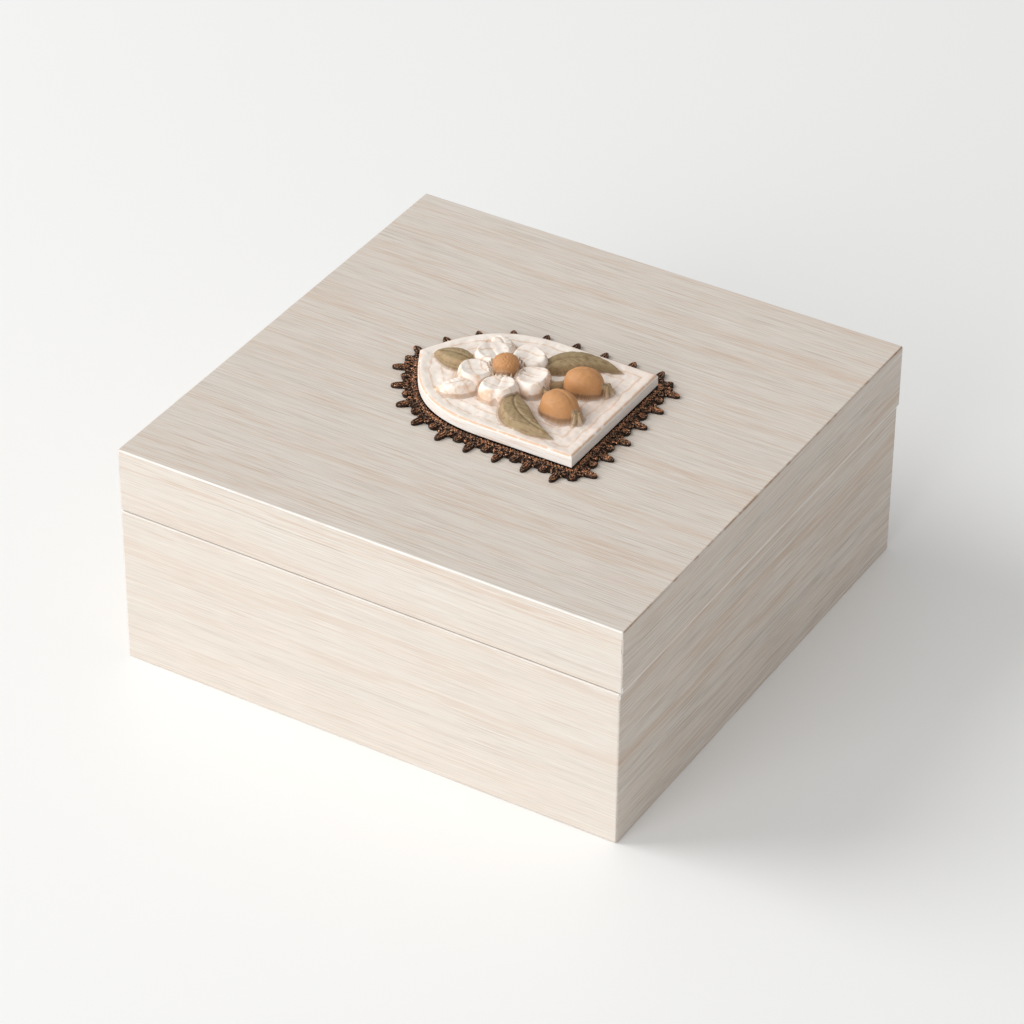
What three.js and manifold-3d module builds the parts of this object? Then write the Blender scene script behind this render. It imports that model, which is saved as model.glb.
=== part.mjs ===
// A square keepsake box of whitewashed wood. Its lid hinges at the back and carries a cast plaque on a
// filigree trim.
// Millimetres. The origin is the middle of the underside: +X is the right side, -Y the front, +Z up.
import * as THREE from "three";
import { mergeVertices } from "three/addons/utils/BufferGeometryUtils.js";
import Module from "manifold-3d";

const wasm = await Module();
wasm.setup();

// Box
const BOX_LENGTH = 203.2; // along X
const BOX_DEPTH = 203.2; // along Y, of the base
const BASE_HEIGHT = 64.2; // from the floor to the base's rim
const LID_HEIGHT = 25.7; // from the lid's rim to its top
const SEAM_GAP = 0.4; // between the two rims of the closed box
const LID_OVERHANG = 0.8; // how far the lid stands in front of the base, for a finger
const WALL = 9;
const BOTTOM_THICKNESS = 5;
const LID_PANEL_THICKNESS = 9;
const CORNER_RADIUS = 0.8; // of the upright edges
const TOP_EDGE_RADIUS = 0.8;
const RIM_EDGE_RADIUS = 0.6; // the outer edge of each rim
const FOOT_EDGE_RADIUS = 0.6;

// Hinges
const HINGE_LENGTH = 38;
const HINGE_INSET = 26; // from the box's side to the hinge
const LEAF_THICKNESS = 1.1;
const LEAF_WIDTH = 7; // on the rim, in from the back face
const LEAF_CLEARANCE = 0.3; // round a leaf in its recess
const KNUCKLE_RADIUS = 2.3;
const KNUCKLE_COUNT = 3;
const KNUCKLE_CLEARANCE = 0.3; // between knuckles, and from them to the back face
const PIN_RADIUS = 0.9;
const PIN_CLEARANCE = 0.25;
const PIN_PROUD = 0.7; // how far the pin stands out of the knuckles at each end
const SCREW_SPACING = 24; // between the two screws of a leaf
const SCREW_LENGTH = 8;
const SCREW_RADIUS = 0.9;
const SCREW_HEAD_RADIUS = 1.8;
const SCREW_HEAD_HEIGHT = 0.8;
const SCREW_SUNK = 0.1; // the head's depth below the leaf
const SCREW_CLEARANCE = 0.25;

// Filigree trim
const TRIM_THICKNESS = 1.4;
const TRIM_BAND = 4.8; // from the plaque's edge to the valleys between the points
const TRIM_TUCK = 3; // how far the trim runs in under the plaque
const POINT_COUNT = 24;
const POINT_LENGTH = 4.9; // beyond the band
const POINT_WIDTH = 3.2;
const LOBE_LENGTH = 1.3; // the low lobe between two points, beyond the band
const LOBE_WIDTH = 4;
const POINT_HOLE_RADIUS = 0.75;
const LOBE_HOLE_RADIUS = 0.85;

// Plaque
const PLAQUE_WIDTH = 60.6;
const PLAQUE_LENGTH = 81;
const PLAQUE_THICKNESS = 5;
const PLAQUE_EDGE_RADIUS = 1.1;
const ARCH_HEIGHT = 43.3; // of the pointed arch, above its straight sides
const RELIEF_HEIGHT = 9.6; // of the blossom, above the plaque's face

// Fineness of the round shapes
const ARC_STEPS = 3; // in an eighth of a turn of an upright edge, and in an edge's quarter round
const TUBE_SIDES = 14;
const SCREW_SIDES = 10;
const HOLE_SIDES = 6;
const ARCH_STEPS = 14;
const CORNER_TURN_STEPS = 4;
const APEX_TURN_STEPS = 2;
const POINT_STEPS = 8;
const LOBE_STEPS = 4;
const HEART_STEPS = 5;
const RELIEF_ROOT = 1; // how deep a carved form is rooted in the plaque, so that they join
const CUT_PAST = 1; // how far a cutting shape runs past the face that it opens

const DEG = Math.PI / 180;

// Places worked out from the sizes
const LID_RIM = BASE_HEIGHT + SEAM_GAP;
const LID_TOP = LID_RIM + LID_HEIGHT;
const PANEL_BOTTOM = LID_TOP - LID_PANEL_THICKNESS;
const BACK_FACE = BOX_DEPTH / 2;
const PLAQUE_BOTTOM = LID_TOP + TRIM_THICKNESS;
const PLAQUE_TOP = PLAQUE_BOTTOM + PLAQUE_THICKNESS;
const BASE_RECTANGLE = {
  left: -BOX_LENGTH / 2, right: BOX_LENGTH / 2, front: -BOX_DEPTH / 2, back: BACK_FACE,
};
const LID_RECTANGLE = { ...BASE_RECTANGLE, front: BASE_RECTANGLE.front - LID_OVERHANG };

// Materials
const finish = (color, roughness, metalness = 0) =>
  new THREE.MeshStandardMaterial({ color, roughness, metalness });
const whitewash = finish(0xd9cec1, 0.6);
const brass = finish(0xb08d4a, 0.35, 1);
const darkMetal = finish(0x3b2a22, 0.45, 0.8);
const castResin = finish(0xf0e6da, 0.55);

const part = new THREE.Group();

function addPiece(name, geometry, material, parent = part) {
  const piece = new THREE.Mesh(geometry, material);
  piece.name = name;
  parent.add(piece);
}

// Solids to join and cut

function solidOf(geometry) {
  const bare = geometry.clone();
  bare.deleteAttribute("normal");
  bare.deleteAttribute("uv");
  const merged = mergeVertices(bare, 1e-5);
  return new wasm.Manifold(
    new wasm.Mesh({
      numProp: 3,
      vertProperties: new Float32Array(merged.attributes.position.array),
      triVerts: new Uint32Array(merged.index.array),
    }),
  );
}

function geometryOf(solid) {
  const { vertProperties, triVerts } = solid.getMesh();
  const geometry = new THREE.BufferGeometry();
  geometry.setAttribute("position", new THREE.BufferAttribute(vertProperties, 3));
  geometry.setIndex(new THREE.BufferAttribute(triVerts, 1));
  return geometry;
}

const joined = (geometries) => geometries.map(solidOf).reduce((whole, solid) => whole.add(solid));

function cut(geometry, tools) {
  return geometryOf(tools.map(solidOf).reduce((whole, tool) => whole.subtract(tool), solidOf(geometry)));
}

function boxBetween([x0, y0, z0], [x1, y1, z1]) {
  const box = new THREE.BoxGeometry(x1 - x0, y1 - y0, z1 - z0);
  return box.translate((x0 + x1) / 2, (y0 + y1) / 2, (z0 + z1) / 2);
}

function meshOf(positions, index) {
  const geometry = new THREE.BufferGeometry();
  geometry.setAttribute("position", new THREE.Float32BufferAttribute(positions, 3));
  geometry.setIndex(index);
  return geometry;
}

// Closes a stack of outlines of equal length, counter-clockwise from above, into one solid.
function loft(levels) {
  const count = levels[0].outline.length;
  const positions = levels.flatMap(({ z, outline }) => outline.flatMap(([x, y]) => [x, y, z]));
  const index = [];
  for (let level = 0; level + 1 < levels.length; level++) {
    for (let i = 0; i < count; i++) {
      const a = level * count + i;
      const b = level * count + ((i + 1) % count);
      index.push(a, b, b + count, a, b + count, a + count);
    }
  }
  const last = (levels.length - 1) * count;
  const flat = ({ outline }) => outline.map(([x, y]) => new THREE.Vector2(x, y));
  for (const [a, b, c] of THREE.ShapeUtils.triangulateShape(flat(levels[0]), [])) index.push(c, b, a);
  for (const [a, b, c] of THREE.ShapeUtils.triangulateShape(flat(levels.at(-1)), [])) {
    index.push(last + a, last + b, last + c);
  }
  return meshOf(positions, index);
}

// The levels of a wall, each a height with the inset that its rounded lower and upper edges give there.
function roundedLevels(bottom, top, bottomRadius, topRadius) {
  const levels = [];
  const quarter = (edge, radius, towards, step) => {
    const angle = (step / ARC_STEPS) * 90 * DEG;
    const z = edge + towards * radius * (1 - Math.cos(angle));
    levels.push({ z, inset: radius * (1 - Math.sin(angle)) });
  };
  const first = (radius) => (radius ? 0 : ARC_STEPS);
  for (let step = first(bottomRadius); step <= ARC_STEPS; step++) quarter(bottom, bottomRadius, 1, step);
  for (let step = ARC_STEPS; step >= first(topRadius); step--) quarter(top, topRadius, -1, step);
  return levels;
}

// Boards

const SIDES = ["front", "right", "back", "left"];
const INWARD = [[1, 1], [-1, 1], [-1, -1], [1, -1]]; // from each corner of a rectangle, front left first

const cornersOf = ({ left, right, front, back }) => [
  [left, front], [right, front], [right, back], [left, back],
];

// An eighth of the turn round an upright edge: the first half leads into the side, the second out of it.
function cornerArc(rectangle, corner, inset, fromDegrees) {
  const [x, y] = cornersOf(rectangle)[corner];
  const centreInset = Math.max(CORNER_RADIUS, inset);
  const radius = centreInset - inset;
  const points = [];
  for (let step = 0; step <= ARC_STEPS; step++) {
    const angle = (fromDegrees + (step / ARC_STEPS) * 45) * DEG;
    points.push([
      x + INWARD[corner][0] * centreInset + radius * Math.cos(angle),
      y + INWARD[corner][1] * centreInset + radius * Math.sin(angle),
    ]);
  }
  return points;
}

// The outer edge of one side, from the middle of one corner to the middle of the next.
function sideEdge(rectangle, side, inset) {
  const start = 225 + side * 90;
  return [
    ...cornerArc(rectangle, side, inset, start),
    ...cornerArc(rectangle, (side + 1) % 4, inset, start + 45),
  ];
}

function mitredBoard(rectangle, side, levels) {
  const inner = cornersOf(rectangle).map(([x, y], i) => [x + INWARD[i][0] * WALL, y + INWARD[i][1] * WALL]);
  return loft(
    levels.map(({ z, inset }) => ({
      z,
      outline: [...sideEdge(rectangle, side, inset), inner[(side + 1) % 4], inner[side]],
    })),
  );
}

function fullPanel(rectangle, levels) {
  const outline = (inset) => SIDES.flatMap((_, side) => sideEdge(rectangle, side, inset).slice(0, -1));
  return loft(levels.map(({ z, inset }) => ({ z, outline: outline(inset) })));
}

// Hinges, each round its pin: X along the pin, Y to the back, Z up, the base's leaf below and the lid's above

const PIN_BACK = BACK_FACE + KNUCKLE_RADIUS + KNUCKLE_CLEARANCE;
const PIN_HEIGHT = BASE_HEIGHT + SEAM_GAP / 2;
const BACK_FACE_FROM_PIN = BACK_FACE - PIN_BACK;
const BORE_RADIUS = PIN_RADIUS + PIN_CLEARANCE;
const SCREW_FROM_PIN = BACK_FACE_FROM_PIN - LEAF_WIDTH / 2;
const KNUCKLE_LENGTH = (HINGE_LENGTH - KNUCKLE_CLEARANCE * (KNUCKLE_COUNT - 1)) / KNUCKLE_COUNT;

const HINGES = [
  { name: "hinge_left", x: -BOX_LENGTH / 2 + HINGE_INSET + HINGE_LENGTH / 2 },
  { name: "hinge_right", x: BOX_LENGTH / 2 - HINGE_INSET - HINGE_LENGTH / 2 },
];

const alongPin = (geometry) => geometry.rotateZ(-90 * DEG);
const profile = (points) => points.map(([radius, height]) => new THREE.Vector2(radius, height));

function knuckle(x) {
  const half = KNUCKLE_LENGTH / 2;
  const ring = [[BORE_RADIUS, -half], [KNUCKLE_RADIUS, -half], [KNUCKLE_RADIUS, half], [BORE_RADIUS, half]];
  return alongPin(new THREE.LatheGeometry(profile([...ring, ring[0]]), TUBE_SIDES)).translate(x, 0, 0);
}

// up is 1 for the lid's leaf and -1 for the base's.
function leaf(up) {
  const inner = (up * SEAM_GAP) / 2;
  const outer = inner + up * LEAF_THICKNESS;
  const [low, high] = [Math.min(inner, outer), Math.max(inner, outer)];
  const half = HINGE_LENGTH / 2;
  const front = BACK_FACE_FROM_PIN - LEAF_WIDTH;
  const pieces = [boxBetween([-half, front, low], [half, BACK_FACE_FROM_PIN, high])];
  const weld = -(KNUCKLE_RADIUS + BORE_RADIUS) / 2;
  for (let i = up > 0 ? 1 : 0; i < KNUCKLE_COUNT; i += 2) {
    const x = -half + KNUCKLE_LENGTH / 2 + i * (KNUCKLE_LENGTH + KNUCKLE_CLEARANCE);
    const reach = KNUCKLE_LENGTH / 2;
    const tongue = boxBetween([x - reach, BACK_FACE_FROM_PIN - LEAF_WIDTH / 2, low], [x + reach, weld, high]);
    pieces.push(tongue, knuckle(x));
  }
  const holes = screwPlaces().map(({ x, y }) => turned(screwProfile(SCREW_CLEARANCE), up, x, y));
  return geometryOf(holes.map(solidOf).reduce((whole, hole) => whole.subtract(hole), joined(pieces)));
}

const screwPlaces = () => [-SCREW_SPACING / 2, SCREW_SPACING / 2].map((x) => ({ x, y: SCREW_FROM_PIN }));

// A screw's outline from its tip to its head, or the hole for it where a clearance is given.
function screwProfile(clearance) {
  const head = SCREW_HEAD_RADIUS + clearance;
  const shank = SCREW_RADIUS + clearance;
  const top = clearance ? SCREW_SUNK + clearance : 0;
  const tip = [[0, -SCREW_LENGTH], [shank, -SCREW_LENGTH + shank]];
  return [...tip, [shank, -SCREW_HEAD_HEIGHT], [head, 0], [head, top], [0, top]];
}

// A turned shape, its head in the leaf's face and its tip in the wood.
function turned(points, up, x, y) {
  const shape = new THREE.LatheGeometry(profile(points), SCREW_SIDES);
  shape.rotateX(up > 0 ? -90 * DEG : 90 * DEG);
  return shape.translate(x, y, up * (SEAM_GAP / 2 + SCREW_SUNK));
}

// What the leaf and its screws take out of a back board, in the box's own frame.
function hingeTools(hinge, up) {
  const rim = up > 0 ? LID_RIM : BASE_HEIGHT;
  const floor = rim + up * LEAF_THICKNESS;
  const half = HINGE_LENGTH / 2 + LEAF_CLEARANCE;
  const mouth = rim - up * CUT_PAST;
  const [low, high] = [Math.min(floor, mouth), Math.max(floor, mouth)];
  const front = BACK_FACE - LEAF_WIDTH - LEAF_CLEARANCE;
  const recess = boxBetween([hinge.x - half, front, low], [hinge.x + half, BACK_FACE + CUT_PAST, high]);
  const depth = SCREW_LENGTH + SCREW_SUNK + SCREW_CLEARANCE;
  const bores = screwPlaces().map(({ x, y }) => {
    const radius = SCREW_RADIUS + SCREW_CLEARANCE;
    const bore = new THREE.CylinderGeometry(radius, radius, depth, SCREW_SIDES).rotateX(90 * DEG);
    return bore.translate(hinge.x + x, PIN_BACK + y, rim + (up * depth) / 2);
  });
  return [recess, ...bores];
}

// Base

const baseLevels = roundedLevels(0, BASE_HEIGHT, FOOT_EDGE_RADIUS, RIM_EDGE_RADIUS);
SIDES.forEach((side, i) => {
  const board = mitredBoard(BASE_RECTANGLE, i, baseLevels);
  const tools = side === "back" ? HINGES.flatMap((hinge) => hingeTools(hinge, -1)) : [];
  addPiece(`base_${side}`, tools.length ? cut(board, tools) : board, whitewash);
});

const inside = {
  left: BASE_RECTANGLE.left + WALL,
  right: BASE_RECTANGLE.right - WALL,
  front: BASE_RECTANGLE.front + WALL,
  back: BASE_RECTANGLE.back - WALL,
};
addPiece(
  "base_bottom",
  loft([0, BOTTOM_THICKNESS].map((z) => ({ z, outline: cornersOf(inside) }))),
  whitewash,
);

// Lid

const railLevels = roundedLevels(LID_RIM, PANEL_BOTTOM, RIM_EDGE_RADIUS, 0);
SIDES.forEach((side, i) => {
  const board = mitredBoard(LID_RECTANGLE, i, railLevels);
  const tools = side === "back" ? HINGES.flatMap((hinge) => hingeTools(hinge, 1)) : [];
  addPiece(`lid_${side}`, tools.length ? cut(board, tools) : board, whitewash);
});
const panelLevels = roundedLevels(PANEL_BOTTOM, LID_TOP, 0, TOP_EDGE_RADIUS);
addPiece("lid_panel", fullPanel(LID_RECTANGLE, panelLevels), whitewash);

for (const hinge of HINGES) {
  const place = new THREE.Group();
  place.position.set(hinge.x, PIN_BACK, PIN_HEIGHT);
  part.add(place);
  const reach = HINGE_LENGTH / 2 + PIN_PROUD;
  const ease = PIN_RADIUS / 3;
  const pin = [
    [0, -reach], [PIN_RADIUS - ease, -reach], [PIN_RADIUS, -reach + ease],
    [PIN_RADIUS, reach - ease], [PIN_RADIUS - ease, reach], [0, reach],
  ];
  addPiece(`${hinge.name}_pin`, alongPin(new THREE.LatheGeometry(profile(pin), TUBE_SIDES)), brass, place);
  for (const [body, up] of [["base", -1], ["lid", 1]]) {
    addPiece(`${hinge.name}_${body}_leaf`, leaf(up), brass, place);
    screwPlaces().forEach(({ x, y }, i) => {
      addPiece(`${hinge.name}_${body}_screw_${i + 1}`, turned(screwProfile(0), up, x, y), brass, place);
    });
  }
}

// The plaque's outline, as stations of a place with its outward direction, counter-clockwise from the middle
// of its straight edge. Its corners and its apex turn in place, so that an offset of the outline is rounded
// there. The arch is a cubic curve, whose inner points lie at shares of its height and of half the width.

const ARCH_LIFT = 0.66;
const ARCH_LEAN = 0.48;
const ARCH_DROP = 0.17;

function turnAt(x, y, fromDegrees, toDegrees, steps) {
  const stations = [];
  for (let step = 0; step <= steps; step++) {
    const angle = THREE.MathUtils.lerp(fromDegrees, toDegrees, step / steps) * DEG;
    stations.push({ x, y, nx: Math.cos(angle), ny: Math.sin(angle) });
  }
  return stations;
}

function archStations() {
  const half = PLAQUE_WIDTH / 2;
  const front = -PLAQUE_LENGTH / 2;
  const apex = PLAQUE_LENGTH / 2;
  const shoulder = apex - ARCH_HEIGHT;
  const arch = new THREE.CubicBezierCurve(
    new THREE.Vector2(half, shoulder),
    new THREE.Vector2(half, shoulder + ARCH_HEIGHT * ARCH_LIFT),
    new THREE.Vector2(half * ARCH_LEAN, apex - ARCH_HEIGHT * ARCH_DROP),
    new THREE.Vector2(0, apex),
  );
  const right = [{ x: 0, y: front, nx: 0, ny: -1 }, ...turnAt(half, front, -90, 0, CORNER_TURN_STEPS)];
  for (let step = 0; step <= ARCH_STEPS; step++) {
    const { x, y } = arch.getPoint(step / ARCH_STEPS);
    const direction = arch.getTangent(step / ARCH_STEPS);
    right.push({ x, y, nx: direction.y, ny: -direction.x });
  }
  const end = right.at(-1);
  const lean = Math.atan2(end.ny, end.nx) / DEG;
  right.push(...turnAt(0, apex, lean, 90, APEX_TURN_STEPS).slice(1));
  const left = right.slice(1, -1).reverse().map(({ x, y, nx, ny }) => ({ x: -x, y, nx: -nx, ny }));
  return [...right, ...left];
}

const STATIONS = archStations();

const offsetPoint = ({ x, y, nx, ny }, offset) => [x + nx * offset, y + ny * offset];

// The plaque's own outline: the stations with the turns in place taken once.
function plaqueOutline(inset) {
  const points = [];
  for (const station of STATIONS) {
    const [x, y] = [station.x, station.y];
    const [lastX, lastY] = points.at(-1)?.place ?? [NaN, NaN];
    if (Math.hypot(x - lastX, y - lastY) < 1e-6) continue;
    points.push({ place: [x, y] });
  }
  const shrinkX = 1 - inset / (PLAQUE_WIDTH / 2);
  const shrinkY = 1 - inset / (PLAQUE_LENGTH / 2);
  return points.map(({ place: [x, y] }) => [x * shrinkX, y * shrinkY]);
}

// The trim follows the outline at the band's distance, which sets the even spacing of its points.
const bandLengths = [0];
const closedStations = [...STATIONS, STATIONS[0]];
for (let i = 1; i < closedStations.length; i++) {
  const [x0, y0] = offsetPoint(closedStations[i - 1], TRIM_BAND);
  const [x1, y1] = offsetPoint(closedStations[i], TRIM_BAND);
  bandLengths.push(bandLengths[i - 1] + Math.hypot(x1 - x0, y1 - y0));
}
const BAND_LENGTH = bandLengths.at(-1);
const POINT_PITCH = BAND_LENGTH / POINT_COUNT;

// The point at a length along the band and an offset outward from the plaque's edge.
function onBand(along, offset) {
  const length = THREE.MathUtils.euclideanModulo(along, BAND_LENGTH);
  const next = bandLengths.findIndex((end) => end > length);
  const share = (length - bandLengths[next - 1]) / (bandLengths[next] - bandLengths[next - 1]);
  const [a, b] = [closedStations[next - 1], closedStations[next]];
  const mix = (key) => THREE.MathUtils.lerp(a[key], b[key], share);
  const normal = new THREE.Vector2(mix("nx"), mix("ny")).normalize();
  return new THREE.Vector2(mix("x") + normal.x * offset, mix("y") + normal.y * offset);
}

// One lobe of the trim's outer edge, a rounded point as wide and long as given.
function lobe(middle, width, length, roundness, steps) {
  const points = [];
  for (let step = 0; step <= steps; step++) {
    const angle = (step / steps) * 180 * DEG;
    const across = -Math.sign(Math.cos(angle)) * Math.abs(Math.cos(angle)) ** roundness;
    points.push(onBand(middle + (across * width) / 2, TRIM_BAND + length * Math.sin(angle)));
  }
  return points;
}

const POINT_HOLE_PLACE = 0.3; // of a point's length, out from the band
const LOBE_HOLE_PLACE = 0.7; // of the band's width, out from the plaque
const POINT_ROUNDNESS = 0.8; // under 1 makes a lobe blunter than an ellipse

function holeAt(along, offset, radius) {
  const centre = onBand(along, offset);
  return new THREE.Path().setFromPoints(
    Array.from({ length: HOLE_SIDES }, (_, i) => {
      const angle = (-i / HOLE_SIDES) * 360 * DEG;
      return new THREE.Vector2(centre.x + radius * Math.cos(angle), centre.y + radius * Math.sin(angle));
    }),
  );
}

function filigreeTrim() {
  const edge = [];
  const holes = [];
  for (let i = 0; i < POINT_COUNT; i++) {
    const middle = (i + 0.5) * POINT_PITCH;
    edge.push(...lobe(middle - POINT_PITCH / 2, LOBE_WIDTH, LOBE_LENGTH, 1, LOBE_STEPS));
    edge.push(...lobe(middle, POINT_WIDTH, POINT_LENGTH, POINT_ROUNDNESS, POINT_STEPS));
    holes.push(holeAt(middle, TRIM_BAND + POINT_LENGTH * POINT_HOLE_PLACE, POINT_HOLE_RADIUS));
    holes.push(holeAt(middle - POINT_PITCH / 2, TRIM_BAND * LOBE_HOLE_PLACE, LOBE_HOLE_RADIUS));
  }
  const shape = new THREE.Shape(edge);
  const opening = plaqueOutline(TRIM_TUCK).map(([x, y]) => new THREE.Vector2(x, y)).reverse();
  shape.holes = [new THREE.Path(opening), ...holes];
  const extrusion = { depth: TRIM_THICKNESS, bevelEnabled: false, curveSegments: 1 };
  const trim = new THREE.ExtrudeGeometry(shape, extrusion);
  return trim.translate(0, 0, LID_TOP);
}

addPiece("filigree_trim", filigreeTrim(), darkMetal);

// The plaque's relief. Its places are shares of the plaque, its widths shares of the plaque's width and its
// heights shares of the relief's height.

const onPlaque = (x, y) => new THREE.Vector2(x * PLAQUE_WIDTH, y * PLAQUE_LENGTH);

// A carved form: a strip along a line, rooted in the plaque, with a surface over s along it and t across it.
function carvedForm({ line, halfWidth, height, steps, lanes }) {
  const rows = steps + 1;
  const columns = lanes + 1;
  const positions = [];
  for (const isTop of [true, false]) {
    for (let i = 0; i < rows; i++) {
      const s = i / steps;
      const middle = line.getPoint(s);
      const direction = line.getTangent(s);
      for (let j = 0; j < columns; j++) {
        const t = (2 * j) / lanes - 1;
        const across = halfWidth(s) * PLAQUE_WIDTH * t;
        const z = isTop ? height(s, t) * RELIEF_HEIGHT : -RELIEF_ROOT;
        positions.push(middle.x - direction.y * across, middle.y + direction.x * across, PLAQUE_TOP + z);
      }
    }
  }
  const index = [];
  const quad = (a, b, c, d) => index.push(a, b, c, a, c, d);
  const top = (i, j) => i * columns + j;
  const root = (i, j) => rows * columns + top(i, j);
  for (let i = 0; i < steps; i++) {
    for (let j = 0; j < lanes; j++) {
      quad(top(i, j), top(i + 1, j), top(i + 1, j + 1), top(i, j + 1));
      quad(root(i, j), root(i, j + 1), root(i + 1, j + 1), root(i + 1, j));
    }
    quad(root(i, 0), root(i + 1, 0), top(i + 1, 0), top(i, 0));
    quad(top(i, lanes), top(i + 1, lanes), root(i + 1, lanes), root(i, lanes));
  }
  for (let j = 0; j < lanes; j++) {
    quad(top(0, j), top(0, j + 1), root(0, j + 1), root(0, j));
    quad(root(steps, j), root(steps, j + 1), top(steps, j + 1), top(steps, j));
  }
  return meshOf(positions, index);
}

const BLOSSOM = onPlaque(0, 0.055);
const PETAL_COUNT = 5;
const PETAL_START = 0.03;
const PETAL_LENGTH = 0.295;
const PETAL_WIDTH = 0.26;
const PETAL_MIDDLE = 0.55; // of the scoop in each petal, along it
const PETAL_LIFT = 0.42; // its height at its foot, with its rise to the tip, its scoop and its sideways tilt
const PETAL_RISE = 0.12;
const PETAL_SCOOP = 0.15;
const PETAL_TILT = 0.05;
const HEART_RADIUS = 0.085;
const HEART_RIM = 0.58; // the dome takes the rest of the height

function petal(i) {
  const angle = -90 * DEG + (i / PETAL_COUNT) * 360 * DEG;
  const out = new THREE.Vector2(Math.cos(angle), Math.sin(angle));
  const start = BLOSSOM.clone().addScaledVector(out, PLAQUE_WIDTH * PETAL_START);
  const end = BLOSSOM.clone().addScaledVector(out, PLAQUE_WIDTH * PETAL_LENGTH);
  return carvedForm({
    line: new THREE.LineCurve(start, end),
    halfWidth: (s) => (PETAL_WIDTH / 2) * Math.sqrt(1 - 0.98 * (2 * s ** 1.35 - 1) ** 2),
    height: (s, t) => {
      const fromMiddle = t * t + ((s - PETAL_MIDDLE) / (1 - PETAL_MIDDLE)) ** 2;
      return PETAL_LIFT + PETAL_RISE * s + PETAL_SCOOP * Math.min(1, fromMiddle) + PETAL_TILT * t;
    },
    steps: 8,
    lanes: 6,
  });
}

// The domed heart of the blossom stands on the plaque, so that no pocket is closed in between the petals.
function blossomHeart() {
  const radius = PLAQUE_WIDTH * HEART_RADIUS;
  const rim = RELIEF_HEIGHT * HEART_RIM;
  const dome = RELIEF_HEIGHT - rim;
  const points = [[0, -RELIEF_ROOT], [radius, -RELIEF_ROOT]];
  for (let step = 0; step <= HEART_STEPS; step++) {
    const angle = (step / HEART_STEPS) * 90 * DEG;
    points.push([step < HEART_STEPS ? radius * Math.cos(angle) : 0, rim + dome * Math.sin(angle)]);
  }
  const heart = new THREE.LatheGeometry(profile(points), TUBE_SIDES).rotateX(90 * DEG);
  return heart.translate(BLOSSOM.x, BLOSSOM.y, PLAQUE_TOP);
}

// A leaf from its foot to its tip, bowed sideways, with a groove along its middle.
const LEAF_FOOT = 0.006; // half of its width at its ends
const LEAF_EDGE_HEIGHT = 0.2; // at its ends, and the rise from there to its middle
const LEAF_RISE = 0.2;
const LEAF_GROOVE = 0.07;
const LEAF_ROLL = 0.35; // how much of its height falls away at its edges

function carvedLeaf(foot, bow, tip, width) {
  return carvedForm({
    line: new THREE.QuadraticBezierCurve(foot, bow, tip),
    halfWidth: (s) => LEAF_FOOT + (width / 2) * Math.sin(Math.PI * s ** 0.85) ** 0.9,
    height: (s, t) => {
      const crest = LEAF_EDGE_HEIGHT + LEAF_RISE * Math.sin(Math.PI * s ** 0.8);
      return crest * (1 - LEAF_ROLL * t * t) - (t === 0 ? LEAF_GROOVE : 0);
    },
    steps: 7,
    lanes: 4,
  });
}

const STEM_HALF_WIDTH = 0.022;
const STEM_HEIGHT = 0.3;

function stem(from, bow, to) {
  return carvedForm({
    line: new THREE.QuadraticBezierCurve(from, bow, to),
    halfWidth: () => STEM_HALF_WIDTH,
    height: (s, t) => STEM_HEIGHT * (1 - 0.5 * t * t),
    steps: 6,
    lanes: 2,
  });
}

// A plump fruit that hangs along a direction, with the small crown of its dried flower at its end. Each is a
// ball with its half width, half length, half height, the height of its middle and how far out it lies.
const FRUIT_BODY = { sides: 14, rings: 9, width: 0.115, length: 0.135, height: 0.62, lift: 0.2, out: 0 };
const FRUIT_CROWN = { sides: 8, rings: 6, width: 0.04, length: 0.03, height: 0.22, lift: 0.14, out: 0.14 };

function fruit(x, y, turn) {
  const middle = onPlaque(x, y);
  return [FRUIT_BODY, FRUIT_CROWN].map(({ sides, rings, width, length, height, lift, out }) => {
    const ball = new THREE.SphereGeometry(1, sides, rings);
    ball.scale(PLAQUE_WIDTH * width, PLAQUE_WIDTH * length, RELIEF_HEIGHT * height).rotateZ(turn);
    const down = new THREE.Vector2(Math.sin(turn), -Math.cos(turn));
    const hang = down.multiplyScalar(PLAQUE_WIDTH * out).add(middle);
    return ball.translate(hang.x, hang.y, PLAQUE_TOP + lift * RELIEF_HEIGHT);
  });
}

function relief() {
  const forms = Array.from({ length: PETAL_COUNT }, (_, i) => petal(i));
  forms.push(blossomHeart());
  forms.push(carvedLeaf(onPlaque(0, 0.2), onPlaque(0.01, 0.32), onPlaque(0, 0.43), 0.17));
  for (const side of [-1, 1]) {
    const on = (x, y) => onPlaque(side * x, y);
    forms.push(carvedLeaf(on(0.1, 0.12), on(0.3, 0.17), on(0.31, 0.28), 0.15));
    forms.push(carvedLeaf(on(0.12, -0.06), on(0.4, -0.1), on(0.4, -0.36), 0.19));
    forms.push(stem(on(0, -0.08), on(0.02, -0.16), on(0.11, -0.22)));
    forms.push(...fruit(side * 0.14, -0.28, side * 14 * DEG));
  }
  return forms;
}

function plaque() {
  const levels = roundedLevels(PLAQUE_BOTTOM, PLAQUE_TOP, 0, PLAQUE_EDGE_RADIUS);
  const slab = loft(levels.map(({ z, inset }) => ({ z, outline: plaqueOutline(inset) })));
  return geometryOf(joined([slab, ...relief()]).simplify(0.01));
}

addPiece("plaque", plaque(), castResin);

export default part;
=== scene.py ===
# The finished look of a whitewashed keepsake box: its boards, hinges, filigree trim and cast plaque.
import math
import random

import bmesh
import bpy
import numpy as np
from bpy.props import FloatProperty, FloatVectorProperty, IntProperty, PointerProperty
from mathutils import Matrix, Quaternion, Vector


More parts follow.
